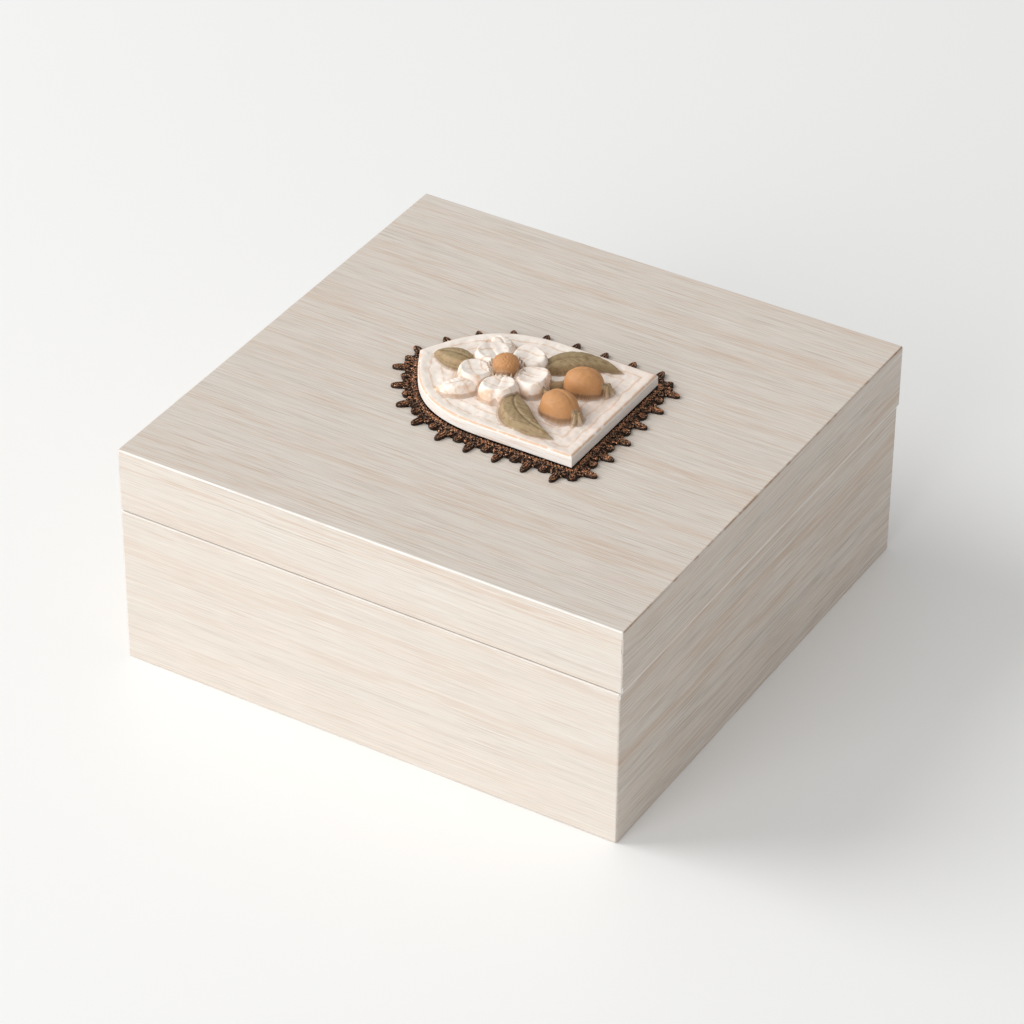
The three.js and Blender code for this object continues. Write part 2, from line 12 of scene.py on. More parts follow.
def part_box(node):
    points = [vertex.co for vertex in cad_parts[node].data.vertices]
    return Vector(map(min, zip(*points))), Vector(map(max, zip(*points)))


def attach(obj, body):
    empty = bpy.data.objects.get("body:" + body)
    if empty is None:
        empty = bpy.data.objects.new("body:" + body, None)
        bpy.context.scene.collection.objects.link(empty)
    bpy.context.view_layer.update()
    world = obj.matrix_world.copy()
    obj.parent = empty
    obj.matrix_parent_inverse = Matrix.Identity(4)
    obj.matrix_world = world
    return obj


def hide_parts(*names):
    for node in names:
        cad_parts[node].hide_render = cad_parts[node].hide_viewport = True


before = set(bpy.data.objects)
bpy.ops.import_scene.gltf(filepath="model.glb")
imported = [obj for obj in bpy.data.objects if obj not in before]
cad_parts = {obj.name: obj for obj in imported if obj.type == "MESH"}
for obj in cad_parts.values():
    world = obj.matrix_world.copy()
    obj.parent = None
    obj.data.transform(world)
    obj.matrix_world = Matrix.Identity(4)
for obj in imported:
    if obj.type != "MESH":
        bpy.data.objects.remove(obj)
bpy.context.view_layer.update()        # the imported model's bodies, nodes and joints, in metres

bl_info = {
    "name": "Whitewashed Keepsake Box",
    "version": (1, 0, 0),
    "blender": (4, 5, 0),
    "location": "3D View > Sidebar > Keepsake Box",
    "description": "Finishes a hinged wooden box that carries a cast plaque on a filigree trim",
    "category": "Object",
}

MM = 0.001


# Settings

def length(name, description, millimetres):
    return FloatProperty(name=name, description=description, default=millimetres * MM, min=0, unit="LENGTH")


def brightness(name, description, default):
    return FloatProperty(name=name, description=description, default=default, min=0, max=10)


def angle(name, description, degrees):
    return FloatProperty(name=name, description=description, default=math.radians(degrees), subtype="ANGLE")


def colour(name, description, red, green, blue):
    return FloatVectorProperty(
        name=name, description=description, default=(red, green, blue), min=0, max=1, size=3, subtype="COLOR"
    )


def power(name, description, watts):
    return FloatProperty(name=name, description=description, default=watts, min=0, unit="POWER")


def direction(name, description, x, y, z):
    return FloatVectorProperty(name=name, description=description, default=(x, y, z), subtype="DIRECTION")


class WoodSettings(bpy.types.PropertyGroup):
    wash: colour("Wash", "The grey cream wash that covers the boards", 0.71, 0.648, 0.577)
    bare: colour("Bare streaks", "Wood that shows peach through the wash", 0.59, 0.44, 0.335)
    grey: colour("Grey streaks", "Wash that is thin over darker grain", 0.43, 0.365, 0.305)
    chalk: colour("Chalk", "White paint on hairlines", 0.88, 0.85, 0.80)
    # The white edge colour is thick paint that also serves as a painted highlight on the rounded edges.
    white: colour("White edge", "Thick white paint along the edges", 0.94, 0.94, 0.92)
    worn: colour("Worn edge", "Brown wood on rubbed edges", 0.36, 0.19, 0.09)
    streak_width: length("Streak width", "Width of a brushed streak", 0.42)
    streak_length: length("Streak length", "Length of a brushed streak", 42)
    hair_width: length("Hairline width", "Width of the finest streaks", 0.25)
    hair_length: length("Hairline length", "Length of the finest streaks", 16)
    band_width: length("Band width", "Width of the broad soft bands", 7)
    band_length: length("Band length", "Length of the broad soft bands", 250)
    wear_width: length("Wear width", "How far edge wear reaches from an edge", 0.9)
    # The white on the lid's top edges is white paint and a painted highlight.
    top_white_and_highlight: length("White on top edges", "How far white paint reaches from the lid's top edges", 0.78)
    other_white: length("White on other edges", "How far white paint reaches from the other edges", 0.6)


class HingeSettings(bpy.types.PropertyGroup):
    brass: colour("Brass", "Colour of the hinges and screws", 0.62, 0.43, 0.18)
    head_radius: length("Head radius", "Radius of a screw's head", 1.8)
    head_height: length("Head height", "Height of the countersunk head", 0.8)
    shank_radius: length("Shank radius", "Radius of a screw's shank", 0.9)
    slot_width: length("Slot width", "Width of the slot in a head", 0.45)
    slot_depth: length("Slot depth", "Depth of the slot in a head", 0.4)


class FiligreeSettings(bpy.types.PropertyGroup):
    bronze: colour("Dark bronze", "Colour of the hollows", 0.035, 0.018, 0.012)
    copper: colour("Copper", "Colour of the rubbed high spots", 0.62, 0.26, 0.125)
    # The glint colour is a painted highlight.
    glint: colour("Glints", "Colour of the brightest spots", 1.0, 0.58, 0.34)
    point_count: IntProperty(name="Points", description="Points round the trim", default=24, min=3)
    band: length("Band", "From the plaque's edge to the valleys between points", 4.8)
    point_length: length("Point length", "Reach of a point beyond the band", 4.9)
    point_width: length("Point width", "Width of a point", 3.2)
    lobe_length: length("Lobe length", "Reach of the lobe between two points", 1.5)
    plate_thickness: length("Plate thickness", "Thickness of the ground of the trim", 0.8)
    wire_radius: length("Wire radius", "Radius of the raised wires", 0.45)
    bead_radius: length("Bead radius", "Mean radius of the beads", 0.58)
    braid_pitch: length("Braid pitch", "Length of one turn of the braid next to the plaque", 3.0)
    braid_width: length("Braid width", "Width of the braid's path", 1.5)
    seed: IntProperty(name="Seed", description="Seed of the beads' small differences", default=7)


class PlaqueSettings(bpy.types.PropertyGroup):
    cream: colour("Cream", "The ground coat", 0.945, 0.865, 0.785)
    white: colour("White", "Thick coat on the slab's sides", 0.95, 0.915, 0.87)
    wash: colour("Grey wash", "Thin grey pink wash over the cream", 0.82, 0.69, 0.605)
    ochre: colour("Ochre", "Rubbed lines along rims", 0.72, 0.44, 0.26)
    caramel: colour("Caramel", "Paint of the fruits and the blossom's heart", 0.56, 0.27, 0.105)
    olive: colour("Olive", "Paint of the leaves and stems", 0.34, 0.245, 0.125)
    # Umber in the hollows is dark paint that is partly painted shade.
    umber: colour("Umber", "Dark paint left in the hollows", 0.16, 0.085, 0.04)
    slab: length("Slab", "Thickness of the slab under the relief", 5)
    edge_radius: length("Edge radius", "Rounding of the slab's upper edge", 1.2)
    arch_height: length("Arch height", "Height of the pointed arch above its straight sides", 43.3)
    dish: length("Dish", "How far the ground is dished", 0.5)
    around: IntProperty(name="Round count", description="Places round the outline", default=490, min=60)
    rings: IntProperty(name="Rings", description="Rings from the rim to the middle", default=185, min=20)


class StageSettings(bpy.types.PropertyGroup):
    azimuth: angle("Azimuth", "The camera's turn round the box", -59.09)
    elevation: angle("Elevation", "The camera's height over the floor, as an angle", 35.33)
    roll: angle("Roll", "The camera's lean to its side", 0.38)
    distance: length("Distance", "From the camera to the point it aims at", 1565.8)
    aim: FloatVectorProperty(
        name="Aim", description="The point in the middle of the picture", default=(-0.0028, -0.0001, 0.0416),
        subtype="TRANSLATION", unit="LENGTH",
    )
    lens: FloatProperty(name="Lens", description="Focal length", default=152.2, unit="CAMERA")
    floor_colour: colour("Floor", "Colour of the plain floor", 0.925, 0.925, 0.915)
    floor_size: length("Floor size", "Side of the square floor", 16000)
    sky: colour("Sky", "Colour of the light from all round", 1.0, 1.0, 1.0)
    sky_strength: brightness("Sky strength", "Light from all round", 0.5)
    back_power: power("Back power", "Power of the soft light behind the box", 96)
    back_size: length("Back size", "Width of the soft light behind the box", 2600)
    back_direction: direction("Back direction", "From the box to the light behind it", -0.25, 0.75, 0.60)
    side_power: power("Side power", "Power of the soft light at the left", 71)
    side_size: length("Side size", "Width of the soft light at the left", 3000)
    side_direction: direction("Side direction", "From the box to the light at the left", -0.92, 0.10, 0.35)
    light_distance: length("Light distance", "From the box to each light", 4000)


class BoxSettings(bpy.types.PropertyGroup):
    wood: PointerProperty(type=WoodSettings)
    hinge: PointerProperty(type=HingeSettings)
    filigree: PointerProperty(type=FiligreeSettings)
    plaque: PointerProperty(type=PlaqueSettings)
    stage: PointerProperty(type=StageSettings)


# Node trees

def operator_of(operation, reflected=False):
    def apply(self, other):
        first, second = (other, self) if reflected else (self, other)
        return self.nodes.math(operation, first, second)
    return apply


class Wire:
    """A value on its way through a node tree. Arithmetic on wires adds the Math nodes that work it out."""

    __add__ = operator_of("ADD")
    __radd__ = operator_of("ADD", reflected=True)
    __sub__ = operator_of("SUBTRACT")
    __rsub__ = operator_of("SUBTRACT", reflected=True)
    __mul__ = operator_of("MULTIPLY")
    __rmul__ = operator_of("MULTIPLY", reflected=True)
    __truediv__ = operator_of("DIVIDE")
    __rtruediv__ = operator_of("DIVIDE", reflected=True)
    __lt__ = operator_of("LESS_THAN")
    __gt__ = operator_of("GREATER_THAN")

    def __init__(self, nodes, socket):
        self.nodes = nodes
        self.socket = socket


class Nodes:
    """Adds nodes to one tree and links them."""

    def __init__(self, tree):
        self.tree = tree

    def add(self, kind, settings=None, inputs=None, output=0):
        """Adds a node, gives it its settings and then its inputs, and returns one of its outputs."""
        node = self.tree.nodes.new(kind)
        for name, value in (settings or {}).items():
            setattr(node, name, value)
        for key, value in (inputs or {}).items():
            sources = value if isinstance(value, list) else [value]
            for source in sources:
                if isinstance(source, Wire):
                    self.tree.links.new(source.socket, node.inputs[key])
                else:
                    node.inputs[key].default_value = source
        return Wire(self, node.outputs[output])

    def math(self, operation, *operands):
        return self.add("ShaderNodeMath", {"operation": operation}, dict(enumerate(operands)))

    def lowest(self, first, second):
        return self.math("MINIMUM", first, second)

    def highest(self, first, second):
        return self.math("MAXIMUM", first, second)

    def ramp(self, value, low, high):
        """0 at low, 1 at high, smooth between. low may be the larger one."""
        ends = {"From Min": low, "From Max": high}
        return self.add("ShaderNodeMapRange", {"interpolation_type": "SMOOTHSTEP"}, {"Value": value, **ends})

    def within(self, distance, reach, blur=0.5):
        """1 where a distance is below the reach, 0 where it is above."""
        return self.ramp(distance, reach + blur, reach - blur)

    def vector(self, **parts):
        """A vector of numbers or wires, by the names x, y and z."""
        places = {"xyz".index(axis): value for axis, value in parts.items()}
        return self.add("ShaderNodeCombineXYZ", inputs=places)


class Finish(Nodes):
    """A material. Its patterns lie on the object's own coordinates, in millimetres."""

    def __init__(self, name):
        self.material = bpy.data.materials.new(name)
        self.material.use_nodes = True
        super().__init__(self.material.node_tree)
        self.tree.nodes.clear()
        metres = self.add("ShaderNodeTexCoord", output="Object")
        self.place = self.add("ShaderNodeVectorMath", {"operation": "SCALE"}, {0: metres, "Scale": 1 / MM})

    def split(self, vector):
        first = self.add("ShaderNodeSeparateXYZ", inputs={0: vector})
        outputs = first.socket.node.outputs
        return [Wire(self, outputs[axis]) for axis in range(3)]

    def attribute(self, name):
        return self.add("ShaderNodeAttribute", {"attribute_name": name}, output="Fac")

    def noise(self, place, sizes, detail=2.0, shift=0.0):
        """Smooth noise, whose blotches are about as large as sizes."""
        scale = tuple(1 / size for size in sizes)
        inputs = {0: place, 1: scale, 2: (shift, shift, shift)}
        scaled = self.add("ShaderNodeVectorMath", {"operation": "MULTIPLY_ADD"}, inputs)
        return self.add("ShaderNodeTexNoise", inputs={"Vector": scaled, "Scale": 1.0, "Detail": detail})

    def mix(self, factor, first, second):
        """A blend of two colours, first where the factor is 0."""
        first, second = (self.rgba(tint) for tint in (first, second))
        return self.add("ShaderNodeMix", {"data_type": "RGBA"}, {0: factor, 6: first, 7: second}, output=2)

    @staticmethod
    def rgba(tint):
        return tint if isinstance(tint, Wire) else (*tint, 1.0)

    def surface(self, tint, roughness, relief=None, depth=0.0, **steady):
        """Ends the tree in a shader. depth is the relief's height in millimetres."""
        inputs = {"Base Color": self.rgba(tint), "Roughness": roughness, **steady}
        if relief:
            inputs["Normal"] = self.add("ShaderNodeBump", inputs={"Distance": depth * MM, "Height": relief})
        shader = self.add("ShaderNodeBsdfPrincipled", inputs=inputs)
        output = self.tree.nodes.new("ShaderNodeOutputMaterial")
        self.tree.links.new(shader.socket, output.inputs["Surface"])
        return self.material


def darker(tint, share):
    return tuple(share * part for part in tint)


class Maker(Nodes):
    """A geometry tree with named inputs, run once on an object."""

    def __init__(self, name, **sizes):
        super().__init__(bpy.data.node_groups.new(name, "GeometryNodeTree"))
        self.tree.interface.new_socket("Geometry", in_out="INPUT", socket_type="NodeSocketGeometry")
        self.tree.interface.new_socket("Geometry", in_out="OUTPUT", socket_type="NodeSocketGeometry")
        self.values = {}
        for key, value in sizes.items():
            kind = "NodeSocketInt" if isinstance(value, int) else "NodeSocketFloat"
            socket = self.tree.interface.new_socket(key.replace("_", " "), in_out="INPUT", socket_type=kind)
            self.values[socket.identifier] = value
        outputs = self.tree.nodes.new("NodeGroupInput").outputs
        self.geometry = Wire(self, outputs[0])
        self.sizes = {key: Wire(self, outputs[place]) for place, key in enumerate(sizes, start=1)}

    def run(self, piece, geometry, material):
        """Realizes the geometry, gives it its material and turns the piece into the plain result."""
        real = self.add("GeometryNodeRealizeInstances", inputs={0: geometry})
        dressed = self.add("GeometryNodeSetMaterial", inputs={0: real, "Material": material})
        output = self.tree.nodes.new("NodeGroupOutput")
        self.tree.links.new(dressed.socket, output.inputs[0])
        modifier = piece.modifiers.new(self.tree.name, "NODES")
        modifier.node_group = self.tree
        for identifier, value in self.values.items():
            modifier[identifier] = value
        apply_modifiers(piece)


# Objects

def add_piece(name, mesh, material=None):
    piece = bpy.data.objects.new(name, mesh)
    bpy.context.scene.collection.objects.link(piece)
    if material:
        mesh.materials.clear()
        mesh.materials.append(material)
    return piece


def apply_modifiers(piece):
    depsgraph = bpy.context.evaluated_depsgraph_get()
    mesh = bpy.data.meshes.new_from_object(piece.evaluated_get(depsgraph), depsgraph=depsgraph)
    piece.modifiers.clear()
    piece.data = mesh


def belongs(piece, body, slot, *nodes):
    """Hangs the piece on its body and hides the solids that it stands for; the finish's slot is not used."""
    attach(piece, body)
    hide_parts(*nodes)


SHARP = math.radians(40)
MERGE_DISTANCE = 1e-6


def smooth_copy(node, material):
    """The solid of a node as a finished piece: its triangles joined and its rounded edges shaded smooth."""
    mesh = bpy.data.meshes.new(f"finished_{node}")
    merged = bmesh.new()
    merged.from_mesh(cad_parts[node].data)
    bmesh.ops.remove_doubles(merged, verts=merged.verts, dist=MERGE_DISTANCE)
    merged.to_mesh(mesh)
    merged.free()
    for name in [layer.name for layer in mesh.uv_layers]:
        mesh.uv_layers.remove(mesh.uv_layers[name])
    mesh.shade_smooth()
    mesh.set_sharp_from_angle(angle=SHARP)
    piece = add_piece(f"finished_{node}", mesh, material)
    weighted = piece.modifiers.new("Even faces", "WEIGHTED_NORMAL")
    weighted.keep_sharp = True
    weighted.weight = 100
    apply_modifiers(piece)
    return piece


def extent_of(nodes):
    """The lowest and highest corners of the nodes together, in millimetres."""
    boxes = [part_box(node) for node in nodes]
    low = [min(box[0][axis] for box in boxes) / MM for axis in range(3)]
    high = [max(box[1][axis] for box in boxes) / MM for axis in range(3)]
    return low, high


# Whitewashed boards

SIDES = ("front", "right", "back", "left")
ALONG_X = "x"
ALONG_Y = "y"
ROUND_THE_TOP = "top"
# Wash strength per face: the front and back boards' higher strength makes them darker and warmer, partly
# painted shade; the sides' lower strength makes them lighter, partly painted light.
FRONT_STRENGTH_AND_SHADE = 1.5
SIDE_STRENGTH_AND_LIGHT = 0.62
TOP_STRENGTH = 1.1
BOTTOM_STRENGTH = 1.0
TOP_EDGE = 3.0
RIM_EDGE = 2.5
CORNER_REACH = 26


def brushed_wash(finish, grained, strength, wood):
    """The streaks of the wash, and the roughness and relief that they give."""

    def streaks(run, width, detail, shift):
        return finish.noise(grained, (run / MM, width / MM, width / MM), detail, shift)

    run, width = wood.streak_length, wood.streak_width
    bands = streaks(wood.band_length, wood.band_width, 2, 3)
    broad = streaks(run * 1.4, width * 3, 3, 11)
    fine = streaks(run, width, 3, 23)
    thin = streaks(run * 0.7, width * 0.8, 2, 61)
    hairs = streaks(wood.hair_length, wood.hair_width, 1, 37)
    scored = streaks(run * 0.8, width * 0.9, 1, 83)

    bare = finish.ramp(broad * 0.2 + fine * 0.8 + (bands - 0.5) * 0.4, 0.45, 0.62)
    greyed = finish.ramp(thin * 0.6 + hairs * 0.4 - (bands - 0.5) * 0.3, 0.50, 0.66)
    scratched = finish.ramp(scored, 0.60, 0.72)
    chalky = finish.ramp(hairs * 0.6 + fine * 0.4, 0.50, 0.66)
    tint = finish.mix(bare * (0.62 * strength), wood.wash, wood.bare)
    tint = finish.mix(greyed * (0.5 * strength), tint, wood.grey)
    tint = finish.mix(scratched * (0.55 * strength), tint, darker(wood.bare, 0.8))
    tint = finish.mix(chalky * (0.4 + 0.12 * strength), tint, wood.chalk)
    roughness = 0.5 + hairs * 0.18 - bare * 0.06
    relief = fine * 0.5 + hairs * 0.5
    return tint, roughness, relief


def worn_edges(finish, tint, z, rim, away, wood):
    """White along the edges, thick paint that also serves as a painted highlight on their rounding, most on
    the lid's top edges and the front rim, and brown wood where the front and back edges are rubbed bare.

    away holds the distances from the body's sides, from its front or back and from its top or underside.
    """
    from_side, from_front, from_top = away
    larger = finish.highest(from_side, from_front)
    smaller = finish.lowest(from_side, from_front)
    edge = finish.highest(smaller, finish.lowest(larger, from_top))
    facing_front = finish.within(from_front - from_side, 0)
    at_top = finish.within(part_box("lid_panel")[1].z / MM - z, TOP_EDGE)
    at_rim = finish.within(finish.math("ABSOLUTE", z - rim), RIM_EDGE)
    at_corner = finish.ramp(from_side, CORNER_REACH, 4)
    front_rim_highlight = at_rim * facing_front
    patchy = finish.noise(finish.place, (5, 5, 5), 4, 51)

    # Wider, thicker white on the lid's top edges and along the front rim: white paint that is also a painted
    # highlight on the rounded edges and the seam.
    reach = (wood.other_white + at_top * (wood.top_white_and_highlight - wood.other_white)) / MM + front_rim_highlight * 0.4
    thickness = 0.35 + at_top * 0.45 + at_rim * 0.2 + front_rim_highlight * 0.4
    white_paint_and_highlight = finish.ramp(edge / reach, 1.0, 0.35) * thickness * (0.2 + patchy * 1.1)
    very_edge = finish.ramp(edge, wood.wear_width / MM * 0.8, 0.2)
    rubbed = finish.ramp(edge, wood.wear_width / MM, 0.1) * finish.ramp(patchy, 0.48, 0.62)
    worn = very_edge * (0.1 + patchy * 0.4 + at_corner * 0.5) + rubbed * 0.5
    browned = facing_front * (0.3 + at_top * 0.7) * (1 - at_rim)
    tint = finish.mix(white_paint_and_highlight * (1 - browned), tint, wood.white)
    return finish.mix(browned * worn, tint, wood.worn)


def whitewash(name, extent, rim, grain, strength, wood):
    """Brushed whitewash on a board of the body that fills the extent, whose open rim lies at a height.

    The grain runs along X or Y, or along Y on top and along X on the front and back edges. A higher
    strength shows more of the wood through the wash and makes the board darker and warmer, which on
    the front and back boards is partly painted shade, and a lower strength on the sides partly painted light.
    """
    finish = Finish(name)
    x, y, z = finish.split(finish.place)
    low, high = extent
    from_side = finish.lowest(x - low[0], high[0] - x)
    from_front = finish.lowest(y - low[1], high[1] - y)
    from_top = finish.lowest(z - low[2], high[2] - z)
    if grain == ALONG_X:
        along, across = x, y
    elif grain == ALONG_Y:
        along, across = y, x
    else:
        on_front = (from_front < from_top) * (from_front < from_side)
        along = y + (x - y) * on_front
        across = x + (y - x) * on_front
    grained = finish.vector(x=along, y=across, z=z)
    tint, roughness, relief = brushed_wash(finish, grained, strength, wood)
    tint = worn_edges(finish, tint, z, rim, (from_side, from_front, from_top), wood)
    return finish.surface(tint, roughness, relief, depth=0.09)


class KEEPSAKE_OT_boards(bpy.types.Operator):
    """Finish the walls, the bottom, the lid's rails and its top board"""

    bl_idname = "keepsake.boards"
    bl_label = "Boards"

    def execute(self, context):
        wood = context.scene.keepsake_box.wood
        base_nodes = [f"base_{side}" for side in SIDES]
        lid_nodes = [f"lid_{side}" for side in SIDES]
        base_extent = extent_of(base_nodes)
        lid_extent = extent_of([*lid_nodes, "lid_panel"])
        base_rim, lid_rim = base_extent[1][2], lid_extent[0][2]
        for body, nodes, extent, rim in (
            ("base", base_nodes, base_extent, base_rim),
            ("lid", lid_nodes, lid_extent, lid_rim),
        ):
            # One copy of the wash per grain: darker and warmer on the front and back boards as painted shade,
            # lighter on the sides as painted light.
            finishes = {
                grain: whitewash(f"{body}_whitewash_{grain}", extent, rim, grain, strength, wood)
                for grain, strength in ((ALONG_X, FRONT_STRENGTH_AND_SHADE), (ALONG_Y, SIDE_STRENGTH_AND_LIGHT))
            }
            for side, node in zip(SIDES, nodes):
                grain = ALONG_X if side in ("front", "back") else ALONG_Y
                belongs(smooth_copy(node, finishes[grain]), body, "whitewashed_wood", node)
        top = whitewash("lid_whitewash_top", lid_extent, lid_rim, ROUND_THE_TOP, TOP_STRENGTH, wood)
        bottom = whitewash("bottom_whitewash", base_extent, base_rim, ALONG_Y, BOTTOM_STRENGTH, wood)
        belongs(smooth_copy("lid_panel", top), "lid", "whitewashed_wood", "lid_panel")
        belongs(smooth_copy("base_bottom", bottom), "base", "whitewashed_wood", "base_bottom")
        return {"FINISHED"}


# Hinges and screws

HINGES = ("hinge_left", "hinge_right")
HEAD_SIDES = 32
SHANK_SIDES = 20


def brushed_brass(hinge):
    finish = Finish("brushed_brass")
    brushed = finish.noise(finish.place, (9, 0.25, 0.25), 3)
    stained = finish.noise(finish.place, (4, 4, 4), 3, 19)
    tint = finish.mix(finish.ramp(stained, 0.42, 0.75) * 0.6, hinge.brass, darker(hinge.brass, 0.55))
    return finish.surface(tint, 0.24 + brushed * 0.2 + stained * 0.1, brushed, depth=0.015, Metallic=1.0)


def screws(name, body, nodes, facing, material, hinge):
    """The slotted screws of one body, their heads facing up (1) or down (-1)."""
    boxes = [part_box(node) for node in nodes]
    faces = [high.z if facing > 0 else low.z for low, high in boxes]
    middles = [(low + high) / 2 for low, high in boxes]
    screw_length = (boxes[0][1] - boxes[0][0]).z
    mesh = bpy.data.meshes.new(name)
    mesh.from_pydata([(middle.x, middle.y, face) for middle, face in zip(middles, faces)], [], [])
    piece = add_piece(name, mesh)
    maker = Maker(
        name, head_radius=hinge.head_radius, head_height=hinge.head_height, shank_radius=hinge.shank_radius,
        screw_length=screw_length, slot_width=hinge.slot_width, slot_depth=hinge.slot_depth,
        face_below_leaf=hinge.head_height / 8, seed=3,
    )
    size = maker.sizes
    cone = {"Vertices": HEAD_SIDES, "Radius Top": size["head_radius"], "Radius Bottom": size["shank_radius"]}
    thickness = size["head_height"] - size["face_below_leaf"]
    head = maker.add("GeometryNodeMeshCone", inputs={**cone, "Depth": thickness})
    lowered = maker.vector(z=0 - size["head_height"])
    head = maker.add("GeometryNodeTransform", inputs={0: head, "Translation": lowered})
    shank_length = size["screw_length"] - size["head_height"]
    cylinder = {"Vertices": SHANK_SIDES, "Radius": size["shank_radius"], "Depth": shank_length}
    shank = maker.add("GeometryNodeMeshCylinder", inputs=cylinder)
    shank_middle = maker.vector(z=0 - size["head_height"] - shank_length / 2)
    shank = maker.add("GeometryNodeTransform", inputs={0: shank, "Translation": shank_middle})
    slot_size = maker.vector(x=size["head_radius"] * 3, y=size["slot_width"], z=size["slot_depth"] * 2)
    slot = maker.add("GeometryNodeMeshCube", inputs={"Size": slot_size})
    slotted = maker.add("GeometryNodeMeshBoolean", {"operation": "DIFFERENCE"}, {0: head, 1: slot})
    screw = maker.add("GeometryNodeJoinGeometry", inputs={0: [slotted, shank]})
    turn = maker.add(
        "FunctionNodeRandomValue", {"data_type": "FLOAT"},
        {2: 0.0, 3: math.pi, "Seed": size["seed"]}, output=1,
    )
    lean = maker.vector(x=0.0 if facing > 0 else math.pi, z=turn)
    placed = maker.add(
        "GeometryNodeInstanceOnPoints", inputs={"Points": maker.geometry, "Instance": screw, "Rotation": lean}
    )
    maker.run(piece, placed, material)
    belongs(piece, body, "hinge_brass", *nodes)


class KEEPSAKE_OT_hinges(bpy.types.Operator):
    """Finish the hinges and their slotted screws"""

    bl_idname = "keepsake.hinges"
    bl_label = "Hinges and screws"

    def execute(self, context):
        hinge = context.scene.keepsake_box.hinge
        material = brushed_brass(hinge)
        for name in HINGES:
            belongs(smooth_copy(f"{name}_pin", material), "base", "hinge_brass", f"{name}_pin")
            for body in ("base", "lid"):
                node = f"{name}_{body}_leaf"
                belongs(smooth_copy(node, material), body, "hinge_brass", node)
        for body, facing in (("base", 1), ("lid", -1)):
            nodes = [f"{name}_{body}_screw_{count}" for name in HINGES for count in (1, 2)]
            screws(f"{body}_screws", body, nodes, facing, material, hinge)
        return {"FINISHED"}


# The outline that the plaque and the trim share, in millimetres about the plaque's middle

def bezier(points, count):
    """Places and directions along a Bezier curve of any degree."""
    shares = np.linspace(0, 1, count)[:, None]

    def blend(corners):
        while len(corners) > 1:
            corners = [a * (1 - shares) + b * shares for a, b in zip(corners, corners[1:])]
        return corners[0]

    corners = [np.array([point]) for point in points]
    steps = [b - a for a, b in zip(corners, corners[1:])]
    direction = blend(steps)
    return blend(corners), direction / np.linalg.norm(direction, axis=1, keepdims=True)


def reached(line):
    """The length along a line at each of its places."""
    return np.concatenate([[0], np.cumsum(np.linalg.norm(np.diff(line, axis=0), axis=1))])


class Outline:
    """A pointed arch on a straight front edge, counter-clockwise from the middle of that edge.

    At its corners and its apex it turns in place, so that an offset of the outline is rounded there.
    """

    ARCH_LIFT = 0.66
    ARCH_LEAN = 0.48
    ARCH_DROP = 0.17
    MIRRORED = np.array([-1.0, 1.0])

    def __init__(self, arch_height):
        low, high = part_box("plaque")
        self.middle = ((low + high) / 2).xy / MM
        self.half = (high.x - low.x) / 2 / MM
        self.apex = (high.y - low.y) / 2 / MM
        self.shoulder = self.apex - arch_height / MM
        rise = self.apex - self.shoulder
        arch, direction = bezier(
            [
                (self.half, self.shoulder),
                (self.half, self.shoulder + self.ARCH_LIFT * rise),
                (self.ARCH_LEAN * self.half, self.apex - self.ARCH_DROP * rise),
                (0.0, self.apex),
            ],
            count=160,
        )
        self.arch = arch
        normals = np.column_stack([direction[:, 1], -direction[:, 0]])
        lean = math.atan2(normals[-1][1], normals[-1][0])
        corner = self.turned((self.half, -self.apex), -math.pi / 2, 0.0)
        tip = self.turned((0.0, self.apex), lean, math.pi / 2)
        start = (np.array([[0.0, -self.apex]]), np.array([[0.0, -1.0]]))
        right = [np.concatenate(parts) for parts in zip(start, corner, (arch, normals), tip)]
        whole = [np.concatenate([half, half[-2::-1] * self.MIRRORED]) for half in right]
        self.places, self.normals = whole

    @staticmethod
    def turned(place, start, end, steps=12):
        angles = np.linspace(start, end, steps)
        return np.array([place] * steps), np.column_stack([np.cos(angles), np.sin(angles)])

    def ring(self, count):
        """Evenly spaced places on the outline, with a place in each corner and at the apex."""
        corner = np.array([[self.half, -self.apex]])
        runs = [np.array([[0.0, -self.apex]]), corner], [corner, self.arch[:1]], [self.arch]
        runs = [np.concatenate(run) for run in runs]
        reaches = [reached(run) for run in runs]
        whole = sum(reach[-1] for reach in reaches)
        half = []
        for run, reach in zip(runs, reaches):
            steps = max(1, round(count / 2 * reach[-1] / whole))
            at = np.linspace(0, reach[-1], steps, endpoint=False)
            half.append(np.column_stack([np.interp(at, reach, run[:, axis]) for axis in range(2)]))
        right = np.concatenate([*half, [[0.0, self.apex]]])
        return np.concatenate([right, right[-2:0:-1] * self.MIRRORED])


class Band:
    """The strip round the outline that the trim fills, measured along it and out from the plaque's edge."""

    def __init__(self, outline, offset):
        self.outline = outline
        self.reach = reached(outline.places + outline.normals * offset)
        self.length = self.reach[-1]

    def at(self, along, offset):
        """The place at a length along the band and an offset outward from the plaque's edge."""
        along = np.mod(along, self.length)
        columns = [
            np.interp(along, self.reach, values[:, axis])
            for values in (self.outline.places, self.outline.normals) for axis in range(2)
        ]
        place = np.column_stack(columns[:2])
        normal = np.column_stack(columns[2:])
        normal /= np.linalg.norm(normal, axis=1, keepdims=True)
        return place + normal * np.reshape(offset, (-1, 1))


# Filigree trim

